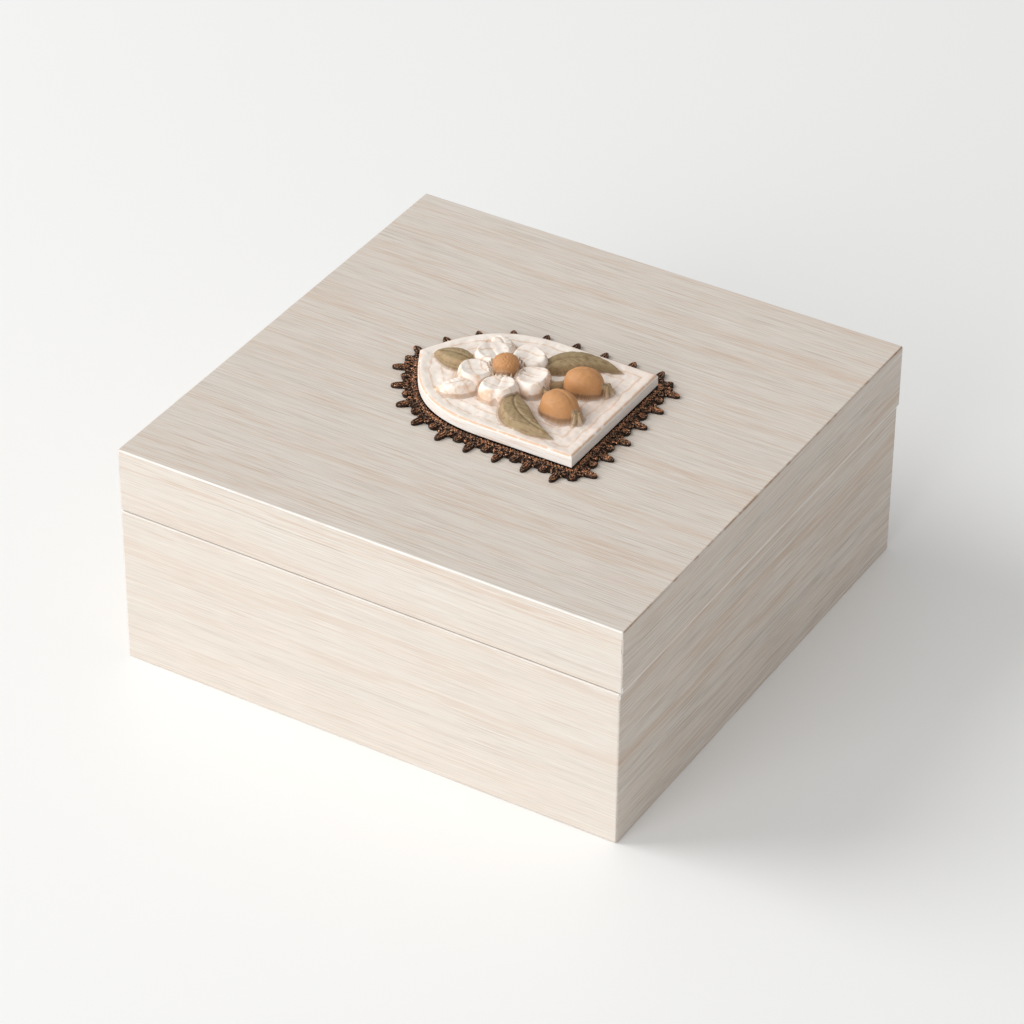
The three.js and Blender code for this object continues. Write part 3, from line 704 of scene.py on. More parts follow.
def rubbed_bronze(filigree, low, high):
    """Dark bronze, copper on its high spots and painted highlight glints on what is raised, between two
    heights in millimetres.
    """
    finish = Finish("rubbed_bronze")
    _, _, z = finish.split(finish.place)
    specks = finish.noise(finish.place, (0.55, 0.55, 0.55), 2)
    blotches = finish.noise(finish.place, (2.5, 2.5, 2.5), 2, 13)
    height = finish.ramp(z, low, high)
    # Painted highlight: sparse glints, strongest on the raised parts.
    glints = finish.noise(finish.place, (0.4, 0.4, 0.4), 1, 31)
    rubbed = finish.ramp(height * 0.35 + specks * 0.9 + blotches * 0.5, 0.95, 1.12)
    tint = finish.mix(rubbed * 0.95, filigree.bronze, filigree.copper)
    tint = finish.mix(finish.ramp(glints, 0.57, 0.65) * height * 0.95, tint, filigree.glint)
    return finish.surface(tint, 0.30 + blotches * 0.06, specks, depth=0.16, Metallic=0.8)


class Lacework:
    """Wires and beads as one web of places round the band, each with a thickness or a bead's radius."""

    LOBE_STEPS = 26
    RIDGE_STEPS = 9

    def __init__(self, band, height):
        self.band = band
        self.height = height
        self.places = []
        self.edges = []
        self.thickness = []
        self.bead_radii = []

    def wire(self, along, offset, lift=0.0, thickness=1.0, closed=True):
        """A wire through places along the band and out from the plaque's edge. The usual thickness is 1."""
        flat = self.band.at(np.array(along), np.array(offset))
        first = len(self.places)
        count = len(flat)
        heights = np.broadcast_to(self.height + lift, count)
        self.places.extend(np.column_stack([flat + np.array(self.band.outline.middle), heights]).tolist())
        links = count if closed else count - 1
        self.edges.extend((first + step, first + (step + 1) % count) for step in range(links))
        self.thickness.extend(np.broadcast_to(thickness, count).tolist())
        self.bead_radii.extend([0.0] * count)

    def bead(self, along, offset, radius, lift=0.0):
        self.wire([along], [offset], lift, closed=False)
        self.bead_radii[-1] = radius * MM

    def ring(self, along, offset, radius, stretch=1.0, steps=14):
        angles = np.linspace(0, 2 * math.pi, steps, endpoint=False)
        self.wire(along + radius * np.cos(angles), offset + radius * stretch * np.sin(angles))

    def lobe(self, along, start, reach, half, wire, ridge):
        """A pointed loop that lies across the band's edge, with a ridge along its middle."""
        angles = np.linspace(0, 2 * math.pi, self.LOBE_STEPS, endpoint=False)
        taper = 1 - 0.25 * (1 - np.cos(angles)) / 2
        self.wire(
            along + (half - wire) * np.sin(angles) * taper, start + (reach - wire) * (1 - np.cos(angles)) / 2,
            lift=0.08,
        )
        shares = np.linspace(0, 1, self.RIDGE_STEPS)
        self.wire(
            np.full(self.RIDGE_STEPS, along), start + (reach - 1.8 * wire) * shares, lift=0.22,
            thickness=ridge * (0.6 + 0.4 * np.sin(math.pi * shares)), closed=False,
        )

    def mesh(self):
        mesh = bpy.data.meshes.new("filigree_lace")
        mesh.from_pydata([tuple(part * MM for part in place) for place in self.places], self.edges, [])
        for name, values in (("thickness", self.thickness), ("bead_radius", self.bead_radii)):
            mesh.attributes.new(name, "FLOAT", "POINT").data.foreach_set("value", values)
        return mesh


# The trim's own proportions, in millimetres

POINT_ROOT = 1.0
LOBE_ROOT = 1.6
BEAD_SCATTER = 0.2
BRAID_OFFSET = 1.15
BRAID_RISE = 0.14
BRAID_STEPS = 10
EDGE_BEAD_OFFSET = 0.25


def lace_step(web, draw, valley, middle, filigree):
    """A lobe in a valley, the point after it, the rings at their feet and the beads beside the point."""
    width = filigree.band / MM
    half = filigree.point_width / MM / 2
    wire = filigree.wire_radius / MM
    bead = filigree.bead_radius / MM
    web.lobe(middle, width - POINT_ROOT, filigree.point_length / MM + POINT_ROOT, half, wire, ridge=0.95)
    web.lobe(valley, width - LOBE_ROOT, filigree.lobe_length / MM + LOBE_ROOT, half - 0.1, wire, ridge=0.9)
    web.ring(valley, width * 0.45, 1.15)
    web.ring(middle, width * 0.55, 1.25, stretch=1.15)
    bead_spots = (half + 0.45, width + 0.3), (half + 0.95, width - 0.6), (half * 0.9, width * 0.45)
    for side in (-1, 1):
        web.ring(middle + side * (half + 0.75), width * 0.62, 0.8, stretch=1.3, steps=12)
        for beside_point, offset in bead_spots:
            along = middle + side * beside_point + draw.uniform(-BEAD_SCATTER, BEAD_SCATTER)
            outward = offset + draw.uniform(-BEAD_SCATTER, BEAD_SCATTER)
            web.bead(along, outward, bead * draw.uniform(0.8, 1.3), lift=0.1)


def braid(web, draw, filigree):
    """Two crossing strands next to the plaque, with a bead in each gap and another at the plaque's edge."""
    length_round = web.band.length
    bead = filigree.bead_radius / MM
    turns = round(length_round / (filigree.braid_pitch / MM))
    steps = np.arange(turns * BRAID_STEPS)
    for strand in (0, math.pi):
        swing = 2 * math.pi * steps / BRAID_STEPS + strand
        web.wire(
            steps / len(steps) * length_round, BRAID_OFFSET + filigree.braid_width / MM / 2 * np.sin(swing),
            lift=BRAID_RISE * np.cos(swing), thickness=1.05,
        )
    for gap in range(2 * turns):
        along = (gap + 0.5) / 2 * length_round / turns
        outward = BRAID_OFFSET + draw.uniform(-0.15, 0.15)
        web.bead(along, outward, bead * draw.uniform(0.7, 1.1), lift=0.12)
        along += draw.uniform(-0.3, 0.3)
        web.bead(along, EDGE_BEAD_OFFSET, bead * draw.uniform(0.7, 1.1), draw.uniform(-0.1, 0.1))


def filigree_web(filigree, band, height):
    """The whole lace: a step for each point round the band, and the braid next to the plaque."""
    draw = random.Random(filigree.seed)
    web = Lacework(band, height)
    pitch = band.length / filigree.point_count
    for count in range(filigree.point_count):
        lace_step(web, draw, count * pitch, (count + 0.5) * pitch, filigree)
    braid(web, draw, filigree)
    return web


def filigree_plate(filigree):
    """The flat ground of the trim: the solid's outline and holes, made thinner."""
    low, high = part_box("filigree_trim")
    plate = bmesh.new()
    plate.from_mesh(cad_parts["filigree_trim"].data)
    bmesh.ops.remove_doubles(plate, verts=plate.verts, dist=MERGE_DISTANCE)
    for vertex in plate.verts:
        if vertex.co.z > (low.z + high.z) / 2:
            vertex.co.z = low.z + filigree.plate_thickness
    return plate


def filigree_lace(filigree, band):
    """The lace as a mesh of its own, joined with the plate that it lies on."""
    low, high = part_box("filigree_trim")
    dull_below, bright_above = low.z / MM + 0.7, high.z / MM + 0.2
    material = rubbed_bronze(filigree, dull_below, bright_above)
    height = low.z / MM + filigree.plate_thickness / MM
    piece = add_piece("filigree_lace", filigree_web(filigree, band, height).mesh())

    maker = Maker("filigree_lace", wire_radius=filigree.wire_radius, wire_sides=8, bead_squash=0.85)
    size = maker.sizes
    radius, thickness = (
        maker.add("GeometryNodeInputNamedAttribute", {"data_type": "FLOAT"}, {"Name": name})
        for name in ("bead_radius", "thickness")
    )
    parted = {0: maker.geometry, 1: radius > 0.0}
    beads_only = maker.add("GeometryNodeSeparateGeometry", {"domain": "POINT"}, parted)
    wires_only = Wire(maker, beads_only.socket.node.outputs[1])
    bead = maker.add("GeometryNodeMeshIcoSphere", inputs={"Radius": 1.0, "Subdivisions": 2})
    scale = maker.vector(x=radius, y=radius, z=radius * size["bead_squash"])
    placed = maker.add(
        "GeometryNodeInstanceOnPoints", inputs={"Points": beads_only, "Instance": bead, "Scale": scale}
    )
    curves = maker.add("GeometryNodeMeshToCurve", inputs={0: wires_only})
    section = maker.add(
        "GeometryNodeCurvePrimitiveCircle", {"mode": "RADIUS"},
        {"Resolution": size["wire_sides"], "Radius": size["wire_radius"]},
    )
    swept = {0: curves, 1: section, "Scale": thickness, "Fill Caps": True}
    wires = maker.add("GeometryNodeCurveToMesh", inputs=swept)
    joined = maker.add("GeometryNodeJoinGeometry", inputs={0: [placed, wires]})
    smooth = maker.add("GeometryNodeSetShadeSmooth", inputs={0: joined})
    maker.run(piece, smooth, material)

    plate = filigree_plate(filigree)
    plate.from_mesh(piece.data)
    whole = bpy.data.meshes.new("filigree_lace")
    plate.to_mesh(whole)
    plate.free()
    whole.shade_smooth()
    whole.set_sharp_from_angle(angle=SHARP)
    piece.data = whole
    whole.materials.append(material)
    belongs(piece, "lid", "dark_trim_metal", "filigree_trim")


class KEEPSAKE_OT_filigree(bpy.types.Operator):
    """Make the dark metal lace under the plaque"""

    bl_idname = "keepsake.filigree"
    bl_label = "Filigree trim"

    def execute(self, context):
        settings = context.scene.keepsake_box
        outline = Outline(settings.plaque.arch_height)
        filigree_lace(settings.filigree, Band(outline, settings.filigree.band / MM))
        return {"FINISHED"}


# Cast plaque

def smooth_step(value, low, high):
    part = np.clip((value - low) / (high - low), 0, 1)
    return part * part * (3 - 2 * part)


def undulation(x, y, wave, seed):
    """A smooth wandering value of about -1 to 1, in waves about as long as given."""
    draw = np.random.default_rng(seed)
    total = np.zeros_like(x)
    for _ in range(9):
        heading, phase = draw.uniform(0, 2 * math.pi, 2)
        turns = 2 * math.pi / (wave * draw.uniform(0.7, 1.7))
        total += np.sin((x * math.cos(heading) + y * math.sin(heading)) * turns + phase)
    return total / 4


def groove(distance, width):
    """1 on a line, and falling to 0 over about two widths beside it."""
    return np.exp(-(distance / width) ** 2)


def beside(x, y, curve, samples=90):
    """For each place, the share of the way along a curve and the distance to its left, in millimetres."""
    line, direction = bezier(curve, samples)
    nearest = np.argmin((x[:, None] - line[:, 0]) ** 2 + (y[:, None] - line[:, 1]) ** 2, axis=1)
    off = np.column_stack([x, y]) - line[nearest]
    tangent = direction[nearest]
    ahead = (off * tangent).sum(axis=1)
    left = tangent[:, 0] * off[:, 1] - tangent[:, 1] * off[:, 0]
    return nearest / (samples - 1) + ahead / reached(line)[-1], left


CREAM, CARAMEL, OLIVE = 0, 1, 2
GOLDEN_ANGLE = math.radians(137.5)


class Relief:
    """The plaque's face over a cloud of places about its middle, in millimetres.

    Places are shares of the plaque's width and length, widths are shares of its width, and heights are
    shares of the relief's height.
    """

    BLOSSOM = (0.0, 0.055)
    PETALS = 5
    PETAL_START = 0.03
    PETAL_LENGTH = 0.295
    PETAL_HALF_WIDTH = 0.13
    HEART_RADIUS = 0.085
    SEEDS = 64
    BEADS = 22
    LEAF_TIP = 0.006
    STEM_HALF_WIDTH = 0.022
    FRUIT_HALF_WIDTH = 0.115
    FRUIT_HALF_LENGTH = 0.135
    CROWN_DOWN = 0.14
    CROWN_HALF_WIDTH = 0.042
    CROWN_HALF_LENGTH = 0.036
    FILLET = 0.45
    ROOT = 1.0

    def __init__(self, x, y, width, length_along, height, ground):
        self.x, self.y = x, y
        self.width, self.length, self.top = width, length_along, height
        self.z = ground
        self.paint = np.zeros((3, len(x)))
        self.edge = np.zeros_like(x)

    def on(self, x, y):
        return x * self.width, y * self.length

    def add(self, height, inside, paint, shoulder=2.0):
        """Raises a form where it stands above what is there. inside is the distance in from its border."""
        side = 1 - (1 - np.clip(inside / shoulder, 0, 1)) ** 2
        form = (height + self.ROOT) * side - self.ROOT
        above = form - self.z
        shows = smooth_step(above, -0.1, 0.15)
        near = np.clip(1 - np.abs(above) / self.FILLET, 0, 1) * (inside > 0)
        self.z = np.maximum(form, self.z) + near * near * self.FILLET / 4
        self.paint *= 1 - shows
        self.paint[paint] += shows
        self.edge += (np.clip(1 - inside / 1.1, 0, 1) - self.edge) * shows

    def from_spot(self, far=0.0, turn=0.0):
        """How far each place lies from a spot, given by its distance and angle from the blossom's middle."""
        bx, by = self.on(*self.BLOSSOM)
        return np.hypot(self.x - bx - far * math.cos(turn), self.y - by - far * math.sin(turn))

    def petal(self, count):
        """A scooped petal with a fold along its middle. s runs along it to 1, t across it from -1 to 1."""
        angle_out = -math.pi / 2 + count / self.PETALS * 2 * math.pi
        bx, by = self.on(*self.BLOSSOM)
        out = (self.x - bx) * math.cos(angle_out) + (self.y - by) * math.sin(angle_out)
        left = (self.y - by) * math.cos(angle_out) - (self.x - bx) * math.sin(angle_out)
        run = (self.PETAL_LENGTH - self.PETAL_START) * self.width
        s = (out - self.PETAL_START * self.width) / run
        bulge = 2 * np.clip(s, 0, 1.2) ** 1.35 - 1
        widest = self.PETAL_HALF_WIDTH * self.width
        wavy = 1 + 0.035 * np.sin(s * 9 + count)
        ellipse = np.sqrt((left / (widest * wavy)) ** 2 + 0.98 * bulge ** 2)
        notch = 0.9 * groove(left, 1.3) * smooth_step(s, 0.8, 1.0)
        inside = np.where(s > 0, (1 - ellipse) * widest - notch, -1)
        t = np.clip(left / (widest * np.sqrt(np.clip(1 - 0.98 * bulge ** 2, 0.02, 1))), -1, 1)
        scoop = 0.15 * np.minimum(1, t * t + ((s - 0.55) / 0.45) ** 2)
        height = (0.40 + 0.10 * s + scoop + 0.05 * t) * self.top
        fold = 0.28 * groove(left, 0.45) * smooth_step(s, 0.95, 0.4)
        veins = np.cos(t * 13 + count) * smooth_step(s, 0.15, 0.5) * smooth_step(s, 1.0, 0.7) * 0.09
        self.add(height - fold + veins, inside, CREAM, shoulder=2.6)

    def heart(self):
        """A dome of seeds in a spiral, in a ring of beads."""
        radius = self.HEART_RADIUS * self.width
        away = self.from_spot()
        dome = np.sqrt(np.clip(1 - (away / radius) ** 2, 0, 1))
        height = (0.58 + 0.42 * dome) * self.top - 0.3
        to_seed = np.full_like(away, np.inf)
        for count in range(self.SEEDS):
            far = (radius - 0.5) * math.sqrt((count + 0.5) / self.SEEDS)
            to_seed = np.minimum(to_seed, self.from_spot(far, count * GOLDEN_ANGLE))
        height += 0.25 * np.sqrt(np.clip(1 - (to_seed / 0.62) ** 2, 0, 1))
        self.add(height, radius - away, CARAMEL, shoulder=0.5)
        for count in range(self.BEADS):
            far = radius + 1.1 + 0.35 * (count % 2)
            to_bead = self.from_spot(far, count / self.BEADS * 2 * math.pi)
            self.add(np.full_like(away, 0.62 * self.top), 0.65 - to_bead, OLIVE, shoulder=0.5)

    def beside_curve(self, *curve):
        return beside(self.x, self.y, [self.on(*place) for place in curve])

    def leaf(self, foot, bow, tip, width, paint):
        s, left = self.beside_curve(foot, bow, tip)
        on_leaf = np.clip(s, 0, 1)
        half = (self.LEAF_TIP + width / 2 * np.sin(np.pi * on_leaf ** 0.85) ** 0.9) * self.width
        t = left / half
        inside = np.minimum(half - np.abs(left), np.minimum(s, 1 - s) * 40 + 0.3)
        height = (0.2 + 0.2 * np.sin(np.pi * on_leaf ** 0.8)) * (1 - 0.35 * t * t) * self.top
        rib = np.mod(s * 9 - np.abs(left) / 3.1, 1)
        side_veins = 0.2 * groove(rib - 0.5, 0.13) * smooth_step(np.abs(t), 0.06, 0.2)
        self.add(height - 0.62 * groove(left, 0.42) - side_veins, inside, paint)

    def stem(self, start, bow, end):
        s, left = self.beside_curve(start, bow, end)
        half = self.STEM_HALF_WIDTH * self.width
        t = np.clip(left / half, -1, 1)
        inside = np.minimum(half - np.abs(left), np.minimum(s, 1 - s) * 20 + 0.3)
        self.add(0.3 * self.top * (1 - 0.5 * t * t), inside, OLIVE, shoulder=1.0)

    def fruit(self, x, y, turn):
        """A cleft fruit that hangs down and outward, with a crown of five sepals at its foot."""
        mx, my = self.on(x, y)
        across = (self.x - mx) * math.cos(turn) + (self.y - my) * math.sin(turn)
        down = (self.x - mx) * math.sin(turn) - (self.y - my) * math.cos(turn)
        half_wide, half_long = self.FRUIT_HALF_WIDTH * self.width, self.FRUIT_HALF_LENGTH * self.width
        q = np.hypot(across / half_wide, down / half_long)
        body = (0.14 + 0.68 * np.clip(1 - q ** 2.4, 0, 1) ** 0.62) * self.top
        cleft = 0.35 * groove(across - 1.2 * np.cos(down / 5), 0.5) * smooth_step(q, 1.0, 0.6)
        self.add(body - cleft, (1 - q) * half_wide, CARAMEL, shoulder=1.5)
        crown_down = down - self.CROWN_DOWN * self.width
        sepals = 1 + 0.28 * np.cos(5 * np.arctan2(across, crown_down))
        r = np.hypot(across / self.CROWN_HALF_WIDTH, crown_down / self.CROWN_HALF_LENGTH)
        r = r / self.width / sepals
        crown = (0.14 + 0.24 * np.sqrt(np.clip(1 - r * r, 0, 1)) - 0.1 * groove(r, 0.25)) * self.top
        self.add(crown, (1 - r) * self.CROWN_HALF_LENGTH * self.width, OLIVE, shoulder=0.8)

    def spray(self):
        """The whole relief: leaves and stems first, then fruits, then the blossom over them."""
        self.leaf((0, 0.2), (0.01, 0.32), (0, 0.43), 0.17, OLIVE)
        for side in (-1, 1):
            self.stem((0, -0.08), (side * 0.02, -0.16), (side * 0.11, -0.22))
            self.leaf((side * 0.1, 0.12), (side * 0.3, 0.17), (side * 0.31, 0.28), 0.15, CREAM)
            self.leaf((side * 0.12, -0.06), (side * 0.4, -0.1), (side * 0.4, -0.36), 0.19, OLIVE)
            self.fruit(side * 0.14, -0.28, side * math.radians(14))
        for count in range(self.PETALS):
            self.petal(count)
        self.heart()


def blurred(values, rings, around, passes, share=1.0):
    """Values on the plaque's web of rings, evened out with their neighbours."""
    web = values.reshape(rings, around)
    for _ in range(passes):
        padded = np.vstack([web[:1], web, web[-1:]])
        sideways = np.roll(web, 1, axis=1) + np.roll(web, -1, axis=1)
        web = web + ((padded[:-2] + padded[2:] + sideways) / 4 - web) * share
    return web.reshape(-1)


def hollows(z, rings, around):
    """How deep each place lies below its neighbours, about -1 to 1, on the plaque's web of rings."""
    return np.clip((blurred(z, rings, around, passes=8) - z) / 0.35, -1, 1)


def inside_of(outline, x, y):
    """How far each place lies in from the outline, which bulges outward everywhere."""
    border = outline.ring(160)
    along = np.roll(border, -1, axis=0) - border
    along /= np.linalg.norm(along, axis=1, keepdims=True)
    distance = np.full_like(x, 1e3)
    for (px, py), (dx, dy) in zip(border, along):
        distance = np.minimum(distance, dx * (y - py) - dy * (x - px))
    return np.maximum(distance, 0)


ROUNDING_STEPS = (0, 0.05, 0.2, 0.45, 0.75, 1.0)
BELOW_ROUNDING = 0.25
FOOT_EASE = 0.25
FOOT_LEVELS = (0.6, 0.3)
CREASE = math.radians(75)


def ring_shares(plaque, outline):
    """How far out each ring of the web lies, from 1 at the rim, where the rings are close, towards 0."""
    rounded = np.array(ROUNDING_STEPS) * (plaque.edge_radius / MM) / outline.half
    inner = np.linspace(1 - rounded[-1], 0, plaque.rings - len(rounded) + 1, endpoint=False)[1:]
    return np.concatenate([1 - rounded, inner])


def carved_face(plaque, outline, x, y, around):
    """The face's height over the underside at each place on the web, and the layers that its paint reads."""
    low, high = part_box("plaque")
    slab = plaque.slab / MM
    relief_height = high.z / MM - low.z / MM - slab
    rings = len(x) // around
    rim = inside_of(outline, x, y)
    dish = plaque.dish / MM * smooth_step(rim, 1.0, 6.0)
    ground = 0.16 * undulation(x, y, 9, 5) * smooth_step(rim, 0.5, 4) - dish
    facets = 0.07 * undulation(x, y, 3.2, 8) * smooth_step(rim, 0.5, 3)
    relief = Relief(x, y, 2 * outline.half, 2 * outline.apex, relief_height, ground + facets)
    relief.spray()
    raised, *paint = (
        blurred(values, rings, around, passes=2, share=0.6) for values in (relief.z, *relief.paint)
    )
    worked = 0.06 * undulation(x, y, 2.4, 12) * smooth_step(rim, 0.5, 3)
    radius = plaque.edge_radius / MM
    rounding = radius - np.sqrt(np.clip(radius ** 2 - np.clip(radius - rim, 0, radius) ** 2, 0, None))
    z = slab + raised + worked - rounding
    layers = {
        "caramel": paint[CARAMEL], "olive": paint[OLIVE], "edge": relief.edge,
        "cavity": hollows(z, rings, around), "rim": rim,
    }
    return z, layers


def web_faces(rings, skirt_rings, around):
    """Strips from the foot up the skirt and in over the face, with a fan in the middle and one below."""
    step = np.arange(around)
    after = (step + 1) % around
    web = [ring * around for ring in range(rings)]
    skirt = [(rings + ring) * around for ring in range(skirt_rings)]
    starts = [*reversed(skirt), *web]
    faces = []
    for outer, inner in zip(starts, starts[1:]):
        strip = outer + step, outer + after, inner + after, inner + step
        faces.extend(np.column_stack(strip).tolist())
    middle = (rings + skirt_rings) * around
    foot = middle + 1
    pairs = list(zip(step.tolist(), after.tolist()))
    faces.extend([web[-1] + first, web[-1] + second, middle] for first, second in pairs)
    faces.extend([skirt[-1] + second, skirt[-1] + first, foot] for first, second in pairs)
    return faces


def plaque_mesh(plaque, outline):
    """One closed mesh: rings from the rim to the middle, and a skirt down to the underside."""
    border = outline.ring(plaque.around)
    around = len(border)
    shares = ring_shares(plaque, outline)
    x, y = (shares[:, None, None] * border).reshape(-1, 2).T
    z, layers = carved_face(plaque, outline, x, y, around)
    top_level = (plaque.slab - plaque.edge_radius) / MM - BELOW_ROUNDING
    skirt_levels = [(0, top_level), *((0, level) for level in FOOT_LEVELS), (FOOT_EASE, 0)]
    skirt = [
        np.column_stack([border * (1 - inset / outline.half), np.full(around, level)])
        for inset, level in skirt_levels
    ]
    middles = [[0, 0, z[-around:].mean()], [0, 0, 0]]
    vertices = np.concatenate([np.column_stack([x, y, z]), *skirt, middles])
    vertices += [*outline.middle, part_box("plaque")[0].z / MM]

    mesh = bpy.data.meshes.new("cast_plaque")
    faces = web_faces(len(shares), len(skirt), around)
    mesh.from_pydata([tuple(place) for place in vertices * MM], [], faces)
    for name, values in layers.items():
        filled = np.zeros(len(vertices), dtype=np.float32)
        filled[:len(values)] = values
        filled[-2] = values[-around:].mean()
        mesh.attributes.new(name, "FLOAT", "POINT").data.foreach_set("value", filled)
    mesh.shade_smooth()
    mesh.set_sharp_from_angle(angle=CREASE)
    return mesh


class PaintedResin(Finish):
    """Cream resin with rubbed ochre lines, brown fruits and green leaves, by the layers of the mesh."""

    def __init__(self, plaque):
        super().__init__("painted_resin")
        self.colours = plaque
        self.caramel, self.olive, self.edge, self.cavity, self.rim = map(
            self.attribute, ("caramel", "olive", "edge", "cavity", "rim")
        )
        self.soft = self.noise(self.place, (9, 9, 9), 3, 3)
        self.middling = self.noise(self.place, (3, 3, 3), 4, 17)
        self.brushed = self.noise(self.place, (0.5, 6, 0.5), 3, 29)
        self.speckled = self.noise(self.place, (0.8, 0.8, 0.8), 2, 41)
        self.on_face = self.ramp(self.rim, 0.05, 0.5)
        self.raised = self.ramp(self.cavity, -0.2, -0.85)

    def ground(self):
        """The cream coat, its wash, heavier toward the foot where it is partly painted shade, and the white
        coat on the slab's sides.
        """
        colours, on_face = self.colours, self.on_face
        washed = self.ramp(self.soft * 0.75 + self.middling * 0.25, 0.42, 0.68)
        _, y, _ = self.split(self.place)
        # Heavier wash toward the plaque's foot: partly wash, partly painted shade of the hollow there.
        foot_wash_and_shade = self.ramp(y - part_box("plaque")[0].y / MM, 34, 6)
        tint = self.mix((washed * 0.6 + foot_wash_and_shade * 0.5) * on_face, colours.cream, colours.wash)
        contour = self.math("PINGPONG", self.rim * 0.45 + self.soft * 1.8 + self.middling * 0.3, 1.0)
        lined = self.ramp(contour, 0.72, 0.97) * self.ramp(self.middling, 0.32, 0.5) * on_face
        tint = self.mix(lined * 0.52, tint, colours.ochre)
        tint = self.mix((1 - on_face) * 0.9, tint, colours.white)
        grained = self.noise(self.place, (14, 14, 0.45), 3, 53)
        return self.mix(self.ramp(grained, 0.48, 0.66) * (1 - on_face) * 0.4, tint, colours.ochre)

    def rubbed(self, tint):
        """Ochre along the rim, on what is raised and round each form, and darker ochre in the hollows, a
        brown wash that is partly painted shade.
        """
        ochre, middling = self.colours.ochre, self.middling
        rim_line = self.ramp(self.rim, 0.95, 0.55) * self.ramp(self.rim, 0.05, 0.3)
        border = self.ramp(self.edge, 0.05, 0.35) * self.ramp(self.edge, 0.95, 0.6)
        # Darker ochre in the hollows: a brown wash that is partly painted shade.
        sunken_shade = self.ramp(self.cavity + (self.speckled - 0.5) * 0.2, 0.06, 0.6) * self.on_face
        tint = self.mix(rim_line * self.ramp(middling, 0.3, 0.5) * 0.75, tint, ochre)
        tint = self.mix(self.raised * self.ramp(middling, 0.42, 0.62) * 0.5, tint, ochre)
        tint = self.mix(border * self.ramp(middling, 0.4, 0.6) * 0.6, tint, ochre)
        return self.mix(sunken_shade * 0.6, tint, darker(ochre, 0.58))

    def brown(self):
        """The brushed paint of the fruits and the blossom's heart."""
        caramel, umber = self.colours.caramel, self.colours.umber
        strokes = self.ramp(self.brushed * 0.7 + self.middling * 0.3, 0.5, 0.72)
        tint = self.mix(strokes * 0.45, caramel, darker(caramel, 0.62))
        return self.mix(self.edge * self.edge * 0.55, tint, umber)

    def green(self):
        """The brushed paint of the leaves and stems."""
        ochre, olive, umber = self.colours.ochre, self.colours.olive, self.colours.umber
        strokes = self.ramp(self.brushed * 0.6 + self.middling * 0.4, 0.48, 0.64)
        yellowish = tuple(0.45 * a + 0.55 * b for a, b in zip(ochre, olive))
        return self.mix(self.raised * 0.4, self.mix(strokes * 0.6, olive, umber), yellowish)

    def painted(self):
        tint = self.mix(self.caramel, self.rubbed(self.ground()), self.brown())
        tint = self.mix(self.olive, tint, self.green())
        # Umber in the deep hollows round the fruits and leaves: a dark wash that is partly painted shade
        # where the forms meet the ground.
        deep = self.ramp(self.cavity + (self.speckled - 0.5) * 0.4, 0.22, 0.85)
        deep = deep * self.lowest(self.caramel + self.olive, 1.0)
        tint = self.mix(deep * 0.72, tint, self.colours.umber)
        relief = self.middling * 0.5 + self.brushed * 0.25 + self.speckled * 0.25
        return self.surface(tint, 0.52 + self.speckled * 0.16, relief, depth=0.16)


class KEEPSAKE_OT_plaque(bpy.types.Operator):
    """Make the cast and painted plaque"""

    bl_idname = "keepsake.plaque"
    bl_label = "Plaque"

    def execute(self, context):
        plaque = context.scene.keepsake_box.plaque
        mesh = plaque_mesh(plaque, Outline(plaque.arch_height))
        piece = add_piece("cast_plaque", mesh, PaintedResin(plaque).painted())
        belongs(piece, "lid", "painted_resin", "plaque")
        return {"FINISHED"}


# Stage

def add_floor(stage):
    half = stage.floor_size / 2
    mesh = bpy.data.meshes.new("floor")
    corners = [(-half, -half, 0), (half, -half, 0), (half, half, 0), (-half, half, 0)]
    mesh.from_pydata(corners, [], [(0, 1, 2, 3)])
    floor = add_piece("floor", mesh, Finish("pale_floor").surface(stage.floor_colour, roughness=0.45))


def add_camera(stage):
    back = Vector((
        math.sin(stage.azimuth) * math.cos(stage.elevation),
        -math.cos(stage.azimuth) * math.cos(stage.elevation),
        math.sin(stage.elevation),
    ))
    data = bpy.data.cameras.new("camera")
    data.lens = stage.lens
    data.sensor_width = 36
    camera = bpy.data.objects.new("camera", data)
    camera.rotation_mode = "QUATERNION"
    camera.rotation_quaternion = back.to_track_quat("Z", "Y") @ Quaternion((0, 0, 1), stage.roll)
    camera.location = Vector(stage.aim) + back * stage.distance
    bpy.context.scene.collection.objects.link(camera)
    bpy.context.scene.camera = camera


def add_light(name, watts, size, towards, distance):
    towards = Vector(towards).normalized()
    data = bpy.data.lights.new(name, "AREA")
    data.energy = watts
    data.shape = "DISK"
    data.size = size
    light = bpy.data.objects.new(name, data)
    light.location = towards * distance
    light.rotation_mode = "QUATERNION"
    light.rotation_quaternion = towards.to_track_quat("Z", "Y")
    bpy.context.scene.collection.objects.link(light)


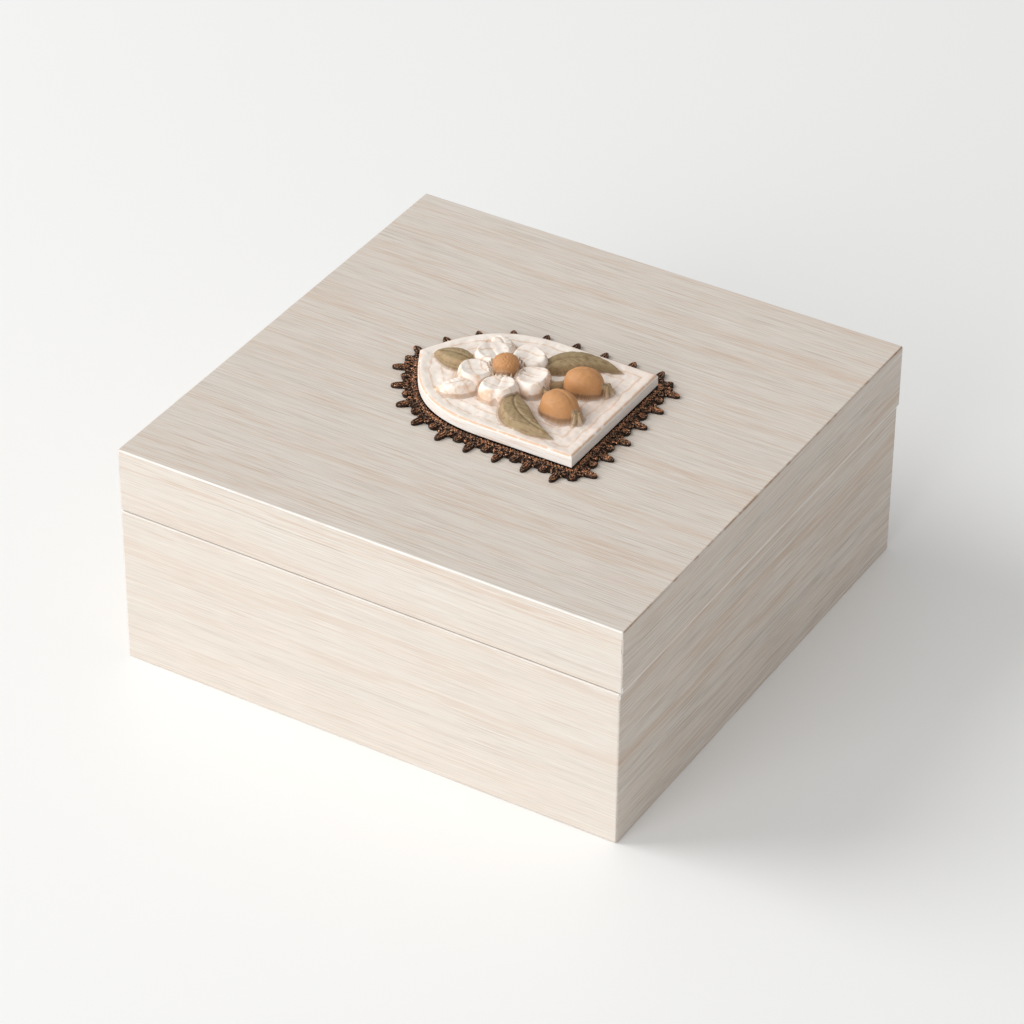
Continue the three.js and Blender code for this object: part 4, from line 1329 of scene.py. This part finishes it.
def add_lights(stage):
    add_light("back_light", stage.back_power, stage.back_size, stage.back_direction, stage.light_distance)
    add_light("side_light", stage.side_power, stage.side_size, stage.side_direction, stage.light_distance)
    world = bpy.data.worlds.new("studio")
    world.use_nodes = True
    background = world.node_tree.nodes["Background"]
    background.inputs["Color"].default_value = (*stage.sky, 1.0)
    background.inputs["Strength"].default_value = stage.sky_strength
    bpy.context.scene.world = world


class KEEPSAKE_OT_stage(bpy.types.Operator):
    """Set the floor, the camera and the lights"""

    bl_idname = "keepsake.stage"
    bl_label = "Stage"

    def execute(self, context):
        stage = context.scene.keepsake_box.stage
        add_camera(stage)
        add_floor(stage)
        add_lights(stage)
        context.scene.view_settings.view_transform = "Standard"
        return {"FINISHED"}


class KEEPSAKE_PT_sidebar(bpy.types.Panel):
    """The box's pieces and their sizes and colours"""

    bl_idname = "KEEPSAKE_PT_sidebar"
    bl_label = "Keepsake Box"
    bl_space_type = "VIEW_3D"
    bl_region_type = "UI"
    bl_category = "Keepsake Box"

    def draw(self, context):
        settings = context.scene.keepsake_box
        groups = settings.stage, settings.wood, settings.hinge, settings.filigree, settings.plaque
        for operator, group in zip(OPERATORS, groups):
            box = self.layout.box()
            box.operator(operator.bl_idname)
            for name in group.__annotations__:
                box.prop(group, name)


OPERATORS = (
    KEEPSAKE_OT_stage, KEEPSAKE_OT_boards, KEEPSAKE_OT_hinges, KEEPSAKE_OT_filigree, KEEPSAKE_OT_plaque,
)
CLASSES = (
    WoodSettings, HingeSettings, FiligreeSettings, PlaqueSettings, StageSettings, BoxSettings,
    *OPERATORS, KEEPSAKE_PT_sidebar,
)


def register():
    for each in CLASSES:
        bpy.utils.register_class(each)
    bpy.types.Scene.keepsake_box = PointerProperty(type=BoxSettings)


def unregister():
    del bpy.types.Scene.keepsake_box
    for each in reversed(CLASSES):
        bpy.utils.unregister_class(each)


def main():
    register()
    bpy.ops.keepsake.stage()
    bpy.ops.keepsake.boards()
    bpy.ops.keepsake.hinges()
    bpy.ops.keepsake.filigree()
    bpy.ops.keepsake.plaque()


if __name__ == "__main__":
    main()
